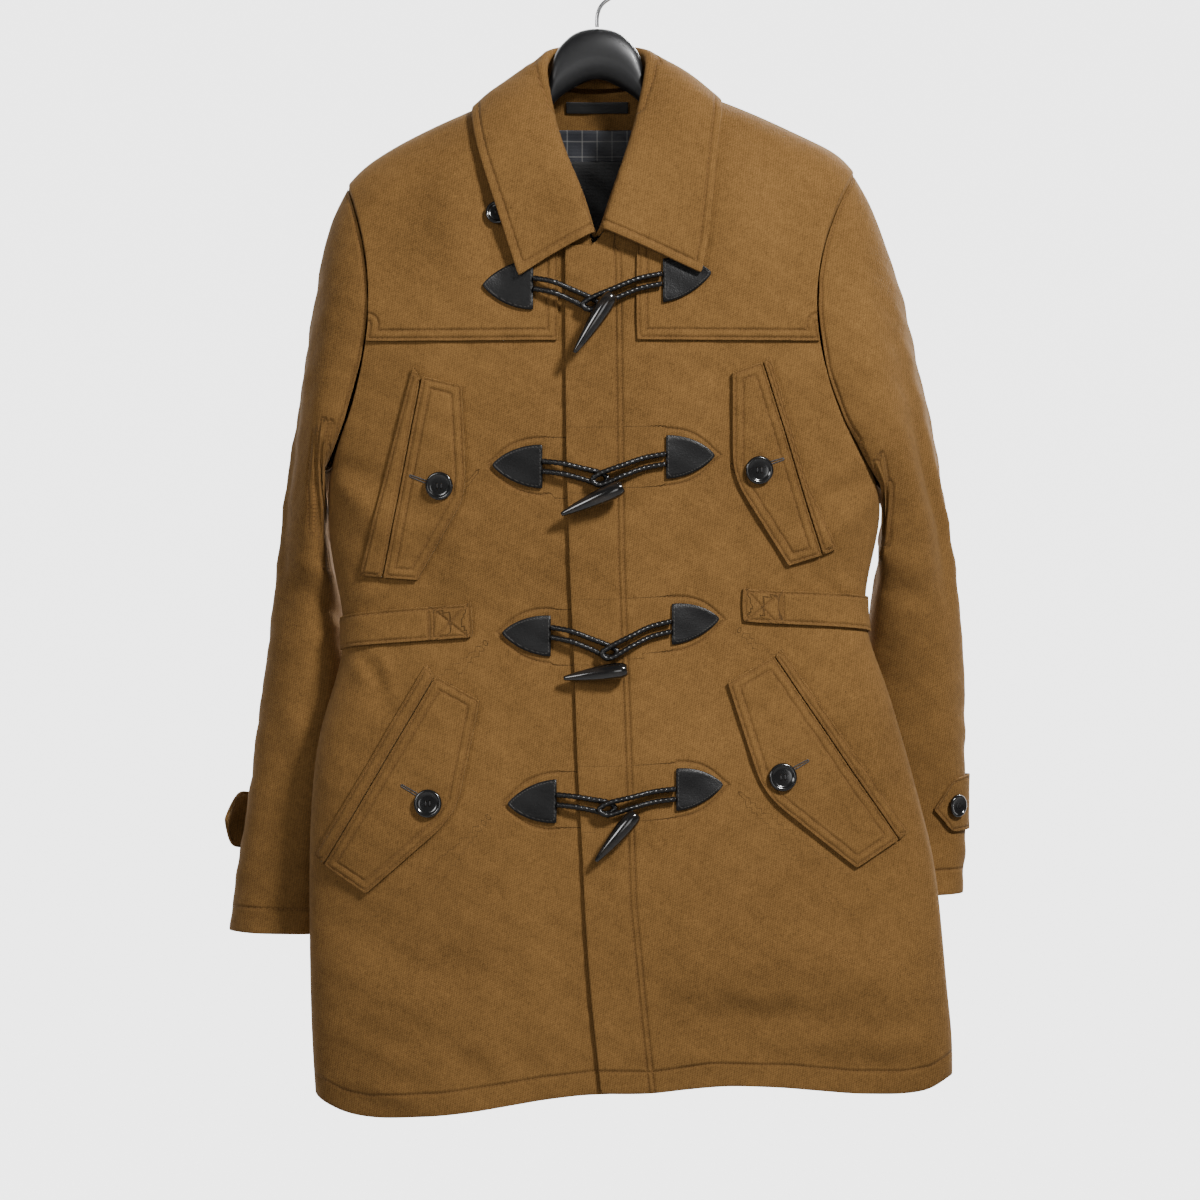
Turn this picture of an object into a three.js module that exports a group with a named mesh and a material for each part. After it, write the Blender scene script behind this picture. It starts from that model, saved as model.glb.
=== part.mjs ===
// Duffle coat hanging on a plain hanger. Millimetres, +Z up, front towards -Y, +X to the wearer's left.
// The origin is where the hook bears on its rail. Every cloth piece is a thin closed wall.
import * as THREE from 'three';

// Walls and gaps
const BODY_WALL = 3;
const YOKE_WALL = 2;
const FLAP_WALL = 3;
const WELT_WALL = 2.4;
const TAB_WALL = 2.4;
const COLLAR_WALL = 3.6;
const LEATHER_WALL = 1.6;
const LINING_WALL = 1.5;
const LABEL_WALL = 1;
const SEAM_GAP = 0.3;
const ARMHOLE_GAP = 1;
const LAY_GAP = 0.8;
const TAB_GAP = 1.2;

// Body levels and depths
const ROLL_Z = -322;
const ARM_DEPTH = 58;
const LAP = 24;
const LAP_LIFT = BODY_WALL + 1.2;
const LAP_TAPER = 70;

// In the body, armhole and sleeve tables left and right are the picture's sides; node names use the wearer's.
// Columns: z, left side x, right side x, placket edge x, centre x, side seam y, front depth, back depth
const BODY_ROWS = [
  [-1000, -240, 300, 6, 28, -10, 70, 68],
  [-946, -244, 306, 1, 28, -10, 70, 68],
  [-895, -246, 301, -5, 27, -10, 69, 67],
  [-827, -247, 295, -10, 24, -10, 67, 65],
  [-776, -247, 289, -12, 21, -10, 66, 63],
  [-725, -245, 276, -15, 15, -10, 64, 60],
  [-691, -242, 267, -17, 12, -10, 62, 58],
  [-657, -236, 257, -18, 10, -10, 59, 55],
  [-623, -224, 247, -19, 8, -10, 57, 52],
  [-580, -215, 230, -21, 7, -10, 55, 49],
  [-542, -224, 230, -23, 3, -9, 57, 50],
  [-504, -230, 241, -24, 4, -7, 60, 53],
  [-470, -232, 246, -25, 5, -3, 62, 55],
  [-444, -233, 247, -26, 5, 0, 64, 56],
  [-322, -233, 247, -27, 4, 0, 66, 58],
  [-90, -233, 247, -28, 2, 0, 66, 58],
];

// Hem height along x
const HEM = [
  [-250, -972], [-235, -983], [-214, -991], [-193, -994], [-133, -990], [-95, -984], [-48, -976],
  [2, -970], [45, -971], [96, -964], [164, -966], [215, -972], [258, -974], [283, -972], [300, -962],
];

// Ridge of the shoulders along x, with the virtual ridge across the neck
const RIDGE = [
  [-214, -200], [-201, -186], [-184, -174], [-167, -164], [-133, -147], [-105, -135], [-57, -113],
  [0, -98], [57, -111], [104, -127], [139, -141], [173, -157], [207, -174], [221, -189],
];

// Armholes: tip, underarm, inset towards the centre at mid height
const ARMHOLE = {
  left: { tip: [-214, -200], under: [-233, -444.5], inset: 30, out: -1 },
  right: { tip: [221, -189], under: [247, -462], inset: 48, out: 1 },
};

// Neckline height at the centre of the front and back
const NECK_HALF = 57;
const FRONT_NECK_Z = -253;
const BACK_NECK_Z = -117;

// Large soft folds on the body: x0, z0, x1, z1, width, height
const FRONT_FOLDS = [
  [-225, -900, -120, -985, 26, 4.5],
  [-205, -850, -90, -950, 22, -3.5],
  [60, -860, 250, -900, 24, 4],
  [40, -905, 210, -935, 18, -3.2],
  [-200, -605, -225, -690, 20, 4],
  [-165, -600, -190, -680, 16, -3],
  [200, -600, 235, -690, 20, 4],
  [170, -600, 200, -690, 17, -3],
  [-120, -215, -150, -330, 24, 3],
  [120, -215, 150, -320, 24, 3],
  [-180, -400, -140, -560, 26, -3],
  [175, -410, 140, -550, 26, -3],
  [-90, -984, -95, -930, 30, 5],
  [164, -966, 160, -900, 32, 4.5],
];
const BACK_FOLDS = [
  [-190, -330, -120, -560, 28, 5],
  [185, -340, 120, -560, 28, 5],
  [-60, -420, -50, -620, 30, -4],
  [70, -430, 55, -640, 30, -4],
  [-120, -640, -150, -985, 38, 7],
  [0, -600, 5, -985, 42, -5],
  [130, -640, 160, -985, 38, 7],
  [-205, -610, -215, -720, 20, 3.5],
  [215, -610, 225, -720, 20, 3.5],
];

// Sleeves. Columns: outer x, outer z, inner x, inner z, centre y, half depth, share of the armhole inset
const SLEEVE_ROWS = {
  left: [
    [-228, -224, -236, -449, 2, 60, 0.8],
    [-237, -253, -238, -456, 7, 60, 0.52],
    [-244, -291, -238, -470, 14, 58, 0.28],
    [-251, -334, -236, -490, 22, 56, 0.1],
    [-258, -385, -230, -517, 31, 53, 0],
    [-268, -444, -223, -552, 40, 50, 0],
    [-278, -512, -216, -595, 49, 47, 0],
    [-288, -589, -209, -643, 55, 45, 0],
    [-298, -665, -207, -697, 59, 43, 0],
    [-307, -725, -212, -744, 61, 42, 0],
    [-315, -784, -219, -795, 61, 41, 0],
    [-320, -816, -224, -823, 61, 40, 0],
    [-323.5, -844, -228, -846, 61, 40, 0],
  ],
  right: [
    [236, -212, 250, -467, 2, 60, 0.8],
    [245, -236, 252, -474, 7, 60, 0.52],
    [258, -270, 252, -487, 14, 58, 0.28],
    [270, -312, 249, -505, 23, 56, 0.1],
    [284, -367, 244, -530, 34, 54, 0],
    [299, -428, 238, -562, 47, 52, 0],
    [312, -498, 232, -602, 60, 50, 0],
    [322, -570, 226, -645, 72, 48, 0],
    [326, -640, 223, -690, 82, 46, 0],
    [327, -700, 223, -728, 89, 44, 0],
    [327, -757, 224, -768, 93, 43, 0],
    [326.5, -788, 225, -793, 94, 42, 0],
    [326, -814, 226, -816, 95, 42, 0],
  ],
};
const SLEEVE_COLUMNS = 24;

// Sleeve folds: row0, angle0, row1, angle1, width, height
const SLEEVE_FOLDS = {
  left: [[3, 1.2, 8, 1.5, 26, 4], [5, 2.3, 8, 1.6, 22, -4], [4, 4.2, 9, 4.6, 28, 5], [7, 0.8, 12, 1.1, 26, -3]],
  right: [[2, 1.3, 9, 1.1, 26, 5], [4, 2.2, 11, 1.9, 26, -5], [3, 4.3, 9, 4.7, 28, 5], [6, 0.6, 12, 0.8, 22, -3]],
};

function sample(rows, key, column) {
  const rising = rows[0][0] < rows[rows.length - 1][0];
  const list = rising ? rows : [...rows].reverse();
  if (key <= list[0][0]) return list[0][column];
  for (let i = 1; i < list.length; i += 1) {
    if (key <= list[i][0]) {
      const before = list[Math.max(i - 2, 0)];
      const a = list[i - 1];
      const b = list[i];
      const after = list[Math.min(i + 1, list.length - 1)];
      const span = b[0] - a[0];
      const t = (key - a[0]) / span;
      const slopeA = i > 1 ? (b[column] - before[column]) / (b[0] - before[0]) : (b[column] - a[column]) / span;
      const slopeB = after === b ? (b[column] - a[column]) / span : (after[column] - a[column]) / (after[0] - a[0]);
      const t2 = t * t;
      const t3 = t2 * t;
      return (2 * t3 - 3 * t2 + 1) * a[column] + (t3 - 2 * t2 + t) * span * slopeA
        + (3 * t2 - 2 * t3) * b[column] + (t3 - t2) * span * slopeB;
    }
  }
  return list[list.length - 1][column];
}

const lerp = THREE.MathUtils.lerp;
const clamp = THREE.MathUtils.clamp;
const smooth = THREE.MathUtils.smoothstep;

function foldHeight(folds, x, z) {
  let height = 0;
  for (const [x0, z0, x1, z1, width, rise] of folds) {
    const dx = x1 - x0;
    const dz = z1 - z0;
    const t = clamp(((x - x0) * dx + (z - z0) * dz) / (dx * dx + dz * dz), 0, 1);
    const gap = Math.hypot(x - x0 - t * dx, z - z0 - t * dz);
    height += rise * Math.exp(-((gap / width) ** 2));
  }
  return height;
}

// A point of the armhole seam. Turn 0 is the shoulder tip, PI the underarm, the front lies between them.
function armholePoint(side, turn) {
  const { tip, under, inset, out } = ARMHOLE[side];
  const cos = Math.cos(turn);
  const sin = Math.sin(turn);
  const height = cos > 0 ? tip[1] - ROLL_Z : ROLL_Z - under[1];
  const x = lerp(tip[0], under[0], (1 - cos) / 2) - out * inset * sin * sin;
  return new THREE.Vector3(x, -ARM_DEPTH * sin, ROLL_Z + height * cos);
}

// Side edge of the body at one level below the shoulder roll
function sideEdge(side, z) {
  const column = side === 'left' ? 1 : 2;
  const under = ARMHOLE[side].under[1];
  if (z <= under) return { x: sample(BODY_ROWS, z, column), y: sample(BODY_ROWS, z, 5), arm: 0 };
  const turn = Math.acos(clamp((z - ROLL_Z) / (ROLL_Z - under), -1, 0));
  const point = armholePoint(side, turn);
  return { x: point.x, y: 0, arm: -point.y };
}

// Body surface by side, face (-1 front, 1 back), share of the half width, and level below the roll
function lowerPoint(side, face, u, z) {
  const edge = sideEdge(side, z);
  const centre = sample(BODY_ROWS, z, 4);
  const depth = sample(BODY_ROWS, z, face < 0 ? 6 : 7);
  const open = smooth(z, -470, -380);
  const power = lerp(face < 0 ? 2.6 : 2.2, 2.6, open);
  const root = 1 / lerp(2, 1.15, open);
  const bulge = (1 - Math.min(Math.abs(u), 1) ** power) ** root;
  const rim = face < 0 ? edge.y - edge.arm : edge.y + edge.arm;
  return new THREE.Vector3(lerp(centre, edge.x, Math.abs(u)), lerp(rim, face * depth, bulge), z);
}

// Body surface above the roll: the angle runs from 0 at the roll level to PI / 2 on the shoulder ridge
function upperPoint(side, face, u, angle) {
  const base = lowerPoint(side, face, u, ROLL_Z);
  const centre = sample(BODY_ROWS, ROLL_Z, 4);
  const armX = armholePoint(side, Math.PI / 2 - angle).x;
  const ridge = sample(RIDGE, lerp(centre, ARMHOLE[side].tip[0], Math.abs(u)), 1);
  const x = lerp(centre, armX, Math.abs(u));
  return new THREE.Vector3(x, base.y * Math.cos(angle), ROLL_Z + (ridge - ROLL_Z) * Math.sin(angle));
}

// The left front laps over the right one, so its cloth is raised towards its edge
function lapHeight(x, z) {
  const edge = sample(BODY_ROWS, z, 3);
  return LAP_LIFT * (1 - smooth(x - edge, LAP + 14, LAP + 14 + LAP_TAPER));
}

function bodyRaw(face, place) {
  const { side, u, angle, z } = place;
  return angle === null ? lowerPoint(side, face, u, z) : upperPoint(side, face, u, angle);
}

function withFolds(face, point, lapped) {
  const folds = face < 0 ? FRONT_FOLDS : BACK_FOLDS;
  const fade = smooth(Math.abs(point.y), 14, 40);
  const lap = lapped ? lapHeight(point.x, point.z) : 0;
  point.y += face * (fade * foldHeight(folds, point.x, point.z) + lap);
  return point;
}

const coat = new THREE.Group();
coat.name = 'duffle_coat_on_hanger';

const looks = {
  wool: new THREE.MeshStandardMaterial({ color: 0x8e6438, roughness: 0.95, metalness: 0 }),
  lining: new THREE.MeshStandardMaterial({ color: 0x1c1d20, roughness: 0.7, metalness: 0 }),
  label: new THREE.MeshStandardMaterial({ color: 0x0b0b0c, roughness: 0.6, metalness: 0 }),
  leather: new THREE.MeshStandardMaterial({ color: 0x0d0c0c, roughness: 0.45, metalness: 0 }),
  horn: new THREE.MeshStandardMaterial({ color: 0x0c0a09, roughness: 0.15, metalness: 0 }),
  hanger: new THREE.MeshStandardMaterial({ color: 0x111111, roughness: 0.35, metalness: 0 }),
  steel: new THREE.MeshStandardMaterial({ color: 0xb9bcc0, roughness: 0.25, metalness: 1 }),
};

function addPiece(name, look, geometry) {
  const mesh = new THREE.Mesh(geometry, looks[look].clone());
  mesh.name = name;
  coat.add(mesh);
}

// A closed wall between two grids of points. A looped wall closes on itself across its columns.
function wall(outer, inner, looped) {
  const rows = outer.length;
  const cols = outer[0].length;
  const points = [...outer.flat(), ...inner.flat()];
  const half = rows * cols;
  const faces = [];
  const quad = (a, b, c, d) => faces.push([a, b, c], [a, c, d]);
  const lastCol = looped ? cols : cols - 1;
  for (let i = 0; i < rows - 1; i += 1) {
    for (let j = 0; j < lastCol; j += 1) {
      const k = (j + 1) % cols;
      const a = i * cols + j;
      const b = i * cols + k;
      quad(a, b, b + cols, a + cols);
      quad(half + a, half + a + cols, half + b + cols, half + b);
    }
  }
  for (let j = 0; j < lastCol; j += 1) {
    const k = (j + 1) % cols;
    const top = (rows - 1) * cols;
    quad(j, half + j, half + k, k);
    quad(top + j, top + k, half + top + k, half + top + j);
  }
  if (!looped) {
    for (let i = 0; i < rows - 1; i += 1) {
      const a = i * cols;
      const b = a + cols - 1;
      quad(a, a + cols, half + a + cols, half + a);
      quad(b, half + b, half + b + cols, b + cols);
    }
  }
  return solid(points, faces);
}

// Turns points and faces into a geometry whose faces point outwards
function solid(points, faces) {
  let volume = 0;
  for (const [a, b, c] of faces) volume += points[a].dot(points[b].clone().cross(points[c]));
  const index = faces.flatMap(([a, b, c]) => (volume > 0 ? [a, b, c] : [a, c, b]));
  const geometry = new THREE.BufferGeometry();
  geometry.setAttribute('position', new THREE.Float32BufferAttribute(points.flatMap((p) => [p.x, p.y, p.z]), 3));
  geometry.setIndex(index);
  return geometry;
}

// Unit normals of a grid, turned to the side that the test vector names
function gridNormals(grid, looped, facing) {
  const rows = grid.length;
  const cols = grid[0].length;
  return grid.map((row, i) => row.map((point, j) => {
    const left = looped ? row[(j + cols - 1) % cols] : row[Math.max(j - 1, 0)];
    const right = looped ? row[(j + 1) % cols] : row[Math.min(j + 1, cols - 1)];
    const up = grid[Math.min(i + 1, rows - 1)][j];
    const down = grid[Math.max(i - 1, 0)][j];
    const normal = right.clone().sub(left).cross(up.clone().sub(down)).normalize();
    return facing && normal.dot(facing(i, j, point)) < 0 ? normal.negate() : normal;
  }));
}

function moved(grid, normals, distance) {
  return grid.map((row, i) => row.map((point, j) => point.clone().addScaledVector(normals[i][j], distance)));
}

// Front necklines rise from the centre to the sides of the neck, and the back one is nearly level
function necklineZ(face, x) {
  const share = clamp(Math.abs(x) / NECK_HALF, 0, 1);
  const side = sample(RIDGE, x, 1);
  if (face > 0) return lerp(BACK_NECK_Z, side, share ** 2);
  return lerp(FRONT_NECK_Z, side, share ** 1.7);
}

// Grid of one body panel for one side. Rows climb from the hem to the roll, then over the shoulder.
const BODY_LOWER_ROWS = 19;
const BODY_UPPER_ROWS = 7;
const HEM_LEVEL = -970;

function panelGrid(face, side, startX, columns, lapped) {
  const grid = [];
  const out = ARMHOLE[side].out;
  const seam = -0.5 * SEAM_GAP * face;
  const uAt = (z, j) => {
    const centre = sample(BODY_ROWS, z, 4);
    const edge = sideEdge(side, z).x;
    const from = out * clamp((startX(z) - centre) / (edge - centre), -1, 1) * out;
    const start = Math.asin(from);
    return Math.sin(lerp(start, Math.PI / 2, j / columns));
  };
  const place = (u, z, angle) => {
    const centre = sample(BODY_ROWS, Math.min(z, ROLL_Z), 4);
    const crossing = u < 0;
    const other = side === 'left' ? 'right' : 'left';
    if (!crossing) return { side, u, angle, z };
    const level = angle === null ? z : ROLL_Z;
    const x = lerp(centre, sideEdge(side, level).x, u);
    const width = sideEdge(other, level).x - centre;
    return { side: other, u: (x - centre) / width, angle, z };
  };
  for (let i = 0; i <= BODY_LOWER_ROWS + BODY_UPPER_ROWS; i += 1) {
    const row = [];
    for (let j = 0; j <= columns; j += 1) {
      let spot;
      if (i <= BODY_LOWER_ROWS) {
        const hemU = uAt(HEM_LEVEL, j);
        const hemX = lerp(sample(BODY_ROWS, HEM_LEVEL, 4), sideEdge(side, HEM_LEVEL).x, hemU);
        const z = lerp(sample(HEM, hemX, 1), ROLL_Z, i / BODY_LOWER_ROWS);
        spot = place(uAt(z, j), z, null);
      } else {
        const u = uAt(ROLL_Z, j);
        const centre = sample(BODY_ROWS, ROLL_Z, 4);
        const x = lerp(centre, ARMHOLE[side].tip[0], u);
        const ridge = sample(RIDGE, x, 1);
        const neck = lapped && x < 4 ? FRONT_NECK_Z - 3 : necklineZ(face, x);
        const stop = Math.abs(x) < NECK_HALF ? neck : ridge;
        const last = Math.asin(clamp((stop - ROLL_Z) / (ridge - ROLL_Z), 0, 1));
        const angle = last * (i - BODY_LOWER_ROWS) / BODY_UPPER_ROWS;
        spot = place(u, ROLL_Z + (ridge - ROLL_Z) * Math.sin(angle), angle);
      }
      const point = withFolds(face, bodyRaw(face, spot), lapped);
      point.y -= seam;
      row.push(point);
    }
    grid.push(row);
  }
  return grid;
}

// Wall direction on a body panel: level at the side seam, straight down on the shoulder seam
function bodyNormals(face, grid, sides) {
  const normals = gridNormals(grid, false, (i, j, p) => new THREE.Vector3(0, face, 0.2 + (p.z > -240 ? 1 : 0)));
  const last = grid[0].length - 1;
  grid.forEach((row, i) => {
    for (const { column, side } of sides) {
      const j = column === 'last' ? last : 0;
      const { under, tip, out } = ARMHOLE[side];
      const z = row[j].z;
      if (z <= under[1] + 1) {
        normals[i][j] = new THREE.Vector3(out, 0, 0);
      } else {
        const level = z < ROLL_Z ? (z - ROLL_Z) / (ROLL_Z - under[1]) : (z - ROLL_Z) / (tip[1] - ROLL_Z);
        const turn = Math.acos(clamp(level, -1, 1));
        const low = smooth(turn, 1.9, 3.0);
        normals[i][j] = new THREE.Vector3(out * low, face * Math.sin(turn) * (1 - low), Math.max(Math.cos(turn), 0))
          .normalize();
      }
    }
    if (i === grid.length - 1) {
      row.forEach((p, j) => {
        if (p.x < -NECK_HALF || p.x > NECK_HALF) normals[i][j] = new THREE.Vector3(0, 0, 1);
      });
    }
  });
  return normals;
}

const FRONT_COLUMNS = 12;
const BACK_HALF_COLUMNS = 11;

// Fronts: the left one carries the lapped edge, the right one runs on under it
function addFronts() {
  const lapEdge = (z) => sample(BODY_ROWS, z, 3);
  const left = panelGrid(-1, 'right', lapEdge, FRONT_COLUMNS, true);
  const leftNormals = bodyNormals(-1, left, [{ column: 'last', side: 'right' }]);
  addPiece('front_left', 'wool', wall(left, moved(left, leftNormals, -BODY_WALL), false));
  const right = panelGrid(-1, 'left', (z) => lapEdge(z) + LAP, FRONT_COLUMNS, false);
  const rightNormals = bodyNormals(-1, right, [{ column: 'last', side: 'left' }]);
  addPiece('front_right', 'wool', wall(right, moved(right, rightNormals, -BODY_WALL), false));
  return { left: { grid: left, normals: leftNormals }, right: { grid: right, normals: rightNormals } };
}

function addBack() {
  const middle = (z) => sample(BODY_ROWS, z, 4);
  const left = panelGrid(1, 'left', middle, BACK_HALF_COLUMNS, false);
  const right = panelGrid(1, 'right', middle, BACK_HALF_COLUMNS, false);
  const grid = left.map((row, i) => [...[...row].reverse(), ...right[i].slice(1)]);
  const normals = bodyNormals(1, grid, [{ column: 0, side: 'left' }, { column: 'last', side: 'right' }]);
  const inner = moved(grid, normals, -BODY_WALL);
  addPiece('back', 'wool', wall(grid, inner, false));
  return { grid, normals, inner };
}

// Keeps a sleeve behind the back panel where the two pass each other
function clearOfBody(side, point) {
  const { under, out } = ARMHOLE[side];
  if (point.z > under[1]) return point;
  const edge = sideEdge(side, point.z);
  const centre = sample(BODY_ROWS, point.z, 4);
  const past = out * (point.x - edge.x);
  if (past > 14) return point;
  const u = clamp((point.x - centre) / (edge.x - centre), 0, 1);
  const back = withFolds(1, lowerPoint(side, 1, u, point.z), false).y + 5;
  const limit = past > 0 ? lerp(back, back - 26, past / 14) : back;
  const fade = smooth(under[1] - point.z, 0, 24);
  if (point.y < limit) point.y = lerp(point.y, limit, fade);
  return point;
}

function sleeveGrid(side) {
  const { inset, out } = ARMHOLE[side];
  const grid = [];
  const loop = [];
  for (let j = 0; j < SLEEVE_COLUMNS; j += 1) {
    const point = armholePoint(side, 2 * Math.PI * j / SLEEVE_COLUMNS);
    point.x += out * ARMHOLE_GAP;
    loop.push(point);
  }
  grid.push(loop);
  SLEEVE_ROWS[side].forEach(([ox, oz, ix, iz, cy, depth, share], k) => {
    const row = [];
    for (let j = 0; j < SLEEVE_COLUMNS; j += 1) {
      const turn = 2 * Math.PI * j / SLEEVE_COLUMNS;
      const sin = Math.sin(turn);
      const t = (1 - Math.cos(turn)) / 2;
      const x = lerp(ox, ix, t) - out * inset * share * sin * sin;
      let fold = 0;
      for (const [k0, a0, k1, a1, width, rise] of SLEEVE_FOLDS[side]) {
        const dk = (k1 - k0) * 60;
        const da = (a1 - a0) * 45;
        const s = clamp((((k + 1) - k0) * 60 * dk + (turn - a0) * 45 * da) / (dk * dk + da * da), 0, 1);
        const gap = Math.hypot(((k + 1) - k0) * 60 - s * dk, (turn - a0) * 45 - s * da);
        fold += rise * Math.exp(-((gap / width) ** 2));
      }
      const point = new THREE.Vector3(x, cy - (depth + fold) * sin, lerp(oz, iz, t));
      row.push(clearOfBody(side, point));
    }
    grid.push(row);
  });
  return grid;
}

function sleeveNormals(side, grid) {
  const centres = grid.map((row) => row.reduce((sum, p) => sum.add(p), new THREE.Vector3()).divideScalar(row.length));
  const normals = gridNormals(grid, true, (i, j, p) => p.clone().sub(centres[i]));
  const { out } = ARMHOLE[side];
  normals[0] = grid[0].map((p, j) => {
    const turn = 2 * Math.PI * j / SLEEVE_COLUMNS;
    const low = smooth(-Math.cos(turn), 0.3, 0.95);
    return new THREE.Vector3(-out * low, -Math.sin(turn) * (1 - low), Math.max(Math.cos(turn), 0) - 0.3 * low)
      .normalize();
  });
  return normals;
}

function addSleeves() {
  const made = {};
  for (const [side, wearer] of [['left', 'right'], ['right', 'left']]) {
    const grid = sleeveGrid(side);
    const normals = sleeveNormals(side, grid);
    addPiece(`sleeve_${wearer}`, 'wool', wall(grid, moved(grid, normals, -BODY_WALL), true));
    made[wearer] = { grid, normals };
  }
  return made;
}


// A point between two outlines given as lists of [x, z]; t runs along both, v from the first to the second
function along(outline, t) {
  const spans = outline.slice(1).map(([x, z], i) => Math.hypot(x - outline[i][0], z - outline[i][1]));
  const total = spans.reduce((sum, span) => sum + span, 0);
  let rest = t * total;
  for (let i = 0; i < spans.length; i += 1) {
    if (rest <= spans[i] || i === spans.length - 1) {
      const share = clamp(rest / spans[i], 0, 1);
      return [lerp(outline[i][0], outline[i + 1][0], share), lerp(outline[i][1], outline[i + 1][1], share)];
    }
    rest -= spans[i];
  }
  return outline[outline.length - 1];
}

// Height of a faceted sheet over one place of the XZ plane, or null beside it
function sheetY(grid, x, z) {
  const hit = (a, b, c) => {
    const area = (b.x - a.x) * (c.z - a.z) - (c.x - a.x) * (b.z - a.z);
    if (Math.abs(area) < 1e-9) return null;
    const v = ((x - a.x) * (c.z - a.z) - (c.x - a.x) * (z - a.z)) / area;
    const w = ((b.x - a.x) * (z - a.z) - (x - a.x) * (b.z - a.z)) / area;
    const slack = -1e-6;
    return v >= slack && w >= slack && v + w <= 1 - slack ? a.y + v * (b.y - a.y) + w * (c.y - a.y) : null;
  };
  for (let i = 0; i < grid.length - 1; i += 1) {
    for (let j = 0; j < grid[0].length - 1; j += 1) {
      const y = hit(grid[i][j], grid[i][j + 1], grid[i + 1][j + 1])
        ?? hit(grid[i][j], grid[i + 1][j + 1], grid[i + 1][j]);
      if (y !== null) return y;
    }
  }
  return null;
}

// A place on a faceted sheet and the sheet's normal there, taken over a small square
function onSheet(grid, face, x, z) {
  const reach = 7;
  const y = sheetY(grid, x, z);
  const at = (dx, dz) => sheetY(grid, x + dx, z + dz);
  const slope = (before, after) => {
    if (before !== null && after !== null) return (after - before) / (2 * reach);
    return after !== null ? (after - y) / reach : (y - before) / reach;
  };
  const normal = new THREE.Vector3(-slope(at(-reach, 0), at(reach, 0)), 1, -slope(at(0, -reach), at(0, reach)));
  normal.normalize();
  if (face < 0) normal.negate();
  return { point: new THREE.Vector3(x, y, z), normal };
}

// A thin piece laid on a sheet: made from the sheet's own points moved out along its normal
function laid(grid, face, first, second, rows, cols, lift, thick) {
  const outer = [];
  const inner = [];
  for (let i = 0; i <= rows; i += 1) {
    const a = along(first, i / rows);
    const b = along(second, i / rows);
    const spots = [];
    for (let j = 0; j <= cols; j += 1) {
      spots.push(onSheet(grid, face, lerp(a[0], b[0], j / cols), lerp(a[1], b[1], j / cols)));
    }
    inner.push(spots.map(({ point, normal }) => point.clone().addScaledVector(normal, lift)));
    outer.push(spots.map(({ point, normal }) => point.clone().addScaledVector(normal, lift + thick)));
  }
  return wall(outer, inner, false);
}

// Pocket outlines: the seam edge of the flap, its free edge, and the outer edge of the welt
const POCKETS = {
  chest_right: {
    seam: [[-147, -366], [-181, -536]],
    free: [[-114, -374], [-110, -466], [-152, -538]],
    welt: [[-155, -358], [-181, -455], [-201, -534]],
  },
  chest_left: {
    seam: [[139, -354], [190, -517]],
    free: [[114, -363], [114, -451], [162, -526]],
    welt: [[146, -349], [178, -455], [203, -511]],
  },
  hip_right: {
    seam: [[-136, -620], [-231, -781]],
    free: [[-99, -640], [-119, -737], [-195, -804]],
    welt: [[-144, -609], [-240, -772]],
  },
  hip_left: {
    seam: [[149, -603], [255, -759]],
    free: [[110, -625], [140, -719], [219, -782]],
    welt: [[156, -596], [264, -752]],
  },
};
const POCKET_BUTTONS = {
  chest_right: [-132, -458],
  chest_left: [136, -445],
  hip_right: [-142, -727],
  hip_left: [156, -705],
};
const WELT_LAP = 1.2;

function addPockets(fronts) {
  for (const [name, { seam, free, welt }] of Object.entries(POCKETS)) {
    const side = name.split('_')[1];
    const { grid } = fronts[side];
    addPiece(`flap_${name}`, 'wool', laid(grid, -1, seam, free, 9, 4, LAY_GAP, FLAP_WALL));
    const out = side === 'right' ? -WELT_LAP : WELT_LAP;
    const near = seam.map(([x, z]) => [x + out, z]);
    addPiece(`welt_${name}`, 'wool', laid(grid, -1, near, welt, 9, 1, TAB_GAP, WELT_WALL));
  }
}

// Yokes lie on the fronts from the neck to the armhole, and end just short of both seams
const YOKE_FOOT_Z = -336;
const YOKE_INNER_X = 33;
const YOKE_MARGIN = 0.12;

function addYoke(side, { grid, normals }) {
  const rollRow = grid[BODY_LOWER_ROWS];
  const below = grid[BODY_LOWER_ROWS - 1];
  const share = (ROLL_Z - YOKE_FOOT_Z) / (rollRow[0].z - below[0].z);
  const rows = [BODY_LOWER_ROWS - share];
  for (let i = BODY_LOWER_ROWS; i < grid.length - 1; i += 1) rows.push(i);
  rows.push(grid.length - 1 - YOKE_MARGIN / 2);
  const start = rollRow.findIndex((p) => Math.abs(p.x) > YOKE_INNER_X && Math.sign(p.x) === (side === 'left' ? 1 : -1));
  const span = Math.abs(rollRow[start].x - rollRow[start - 1].x);
  const cols = [start - (Math.abs(rollRow[start].x) - YOKE_INNER_X) / span];
  for (let j = start; j < rollRow.length - 1; j += 1) cols.push(j);
  cols.push(rollRow.length - 1 - YOKE_MARGIN);
  const pick = (table, i, j) => {
    const i0 = Math.min(Math.floor(i), table.length - 2);
    const j0 = Math.min(Math.floor(j), table[0].length - 2);
    const lower = table[i0][j0].clone().lerp(table[i0][j0 + 1], j - j0);
    const upper = table[i0 + 1][j0].clone().lerp(table[i0 + 1][j0 + 1], j - j0);
    return lower.lerp(upper, i - i0);
  };
  const base = rows.map((i) => cols.map((j) => pick(grid, i, j)));
  const out = rows.map((i) => cols.map((j) => pick(normals, i, j).normalize()));
  addPiece(`yoke_${side}`, 'wool', wall(moved(base, out, LAY_GAP + YOKE_WALL), moved(base, out, LAY_GAP), false));
}

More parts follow.
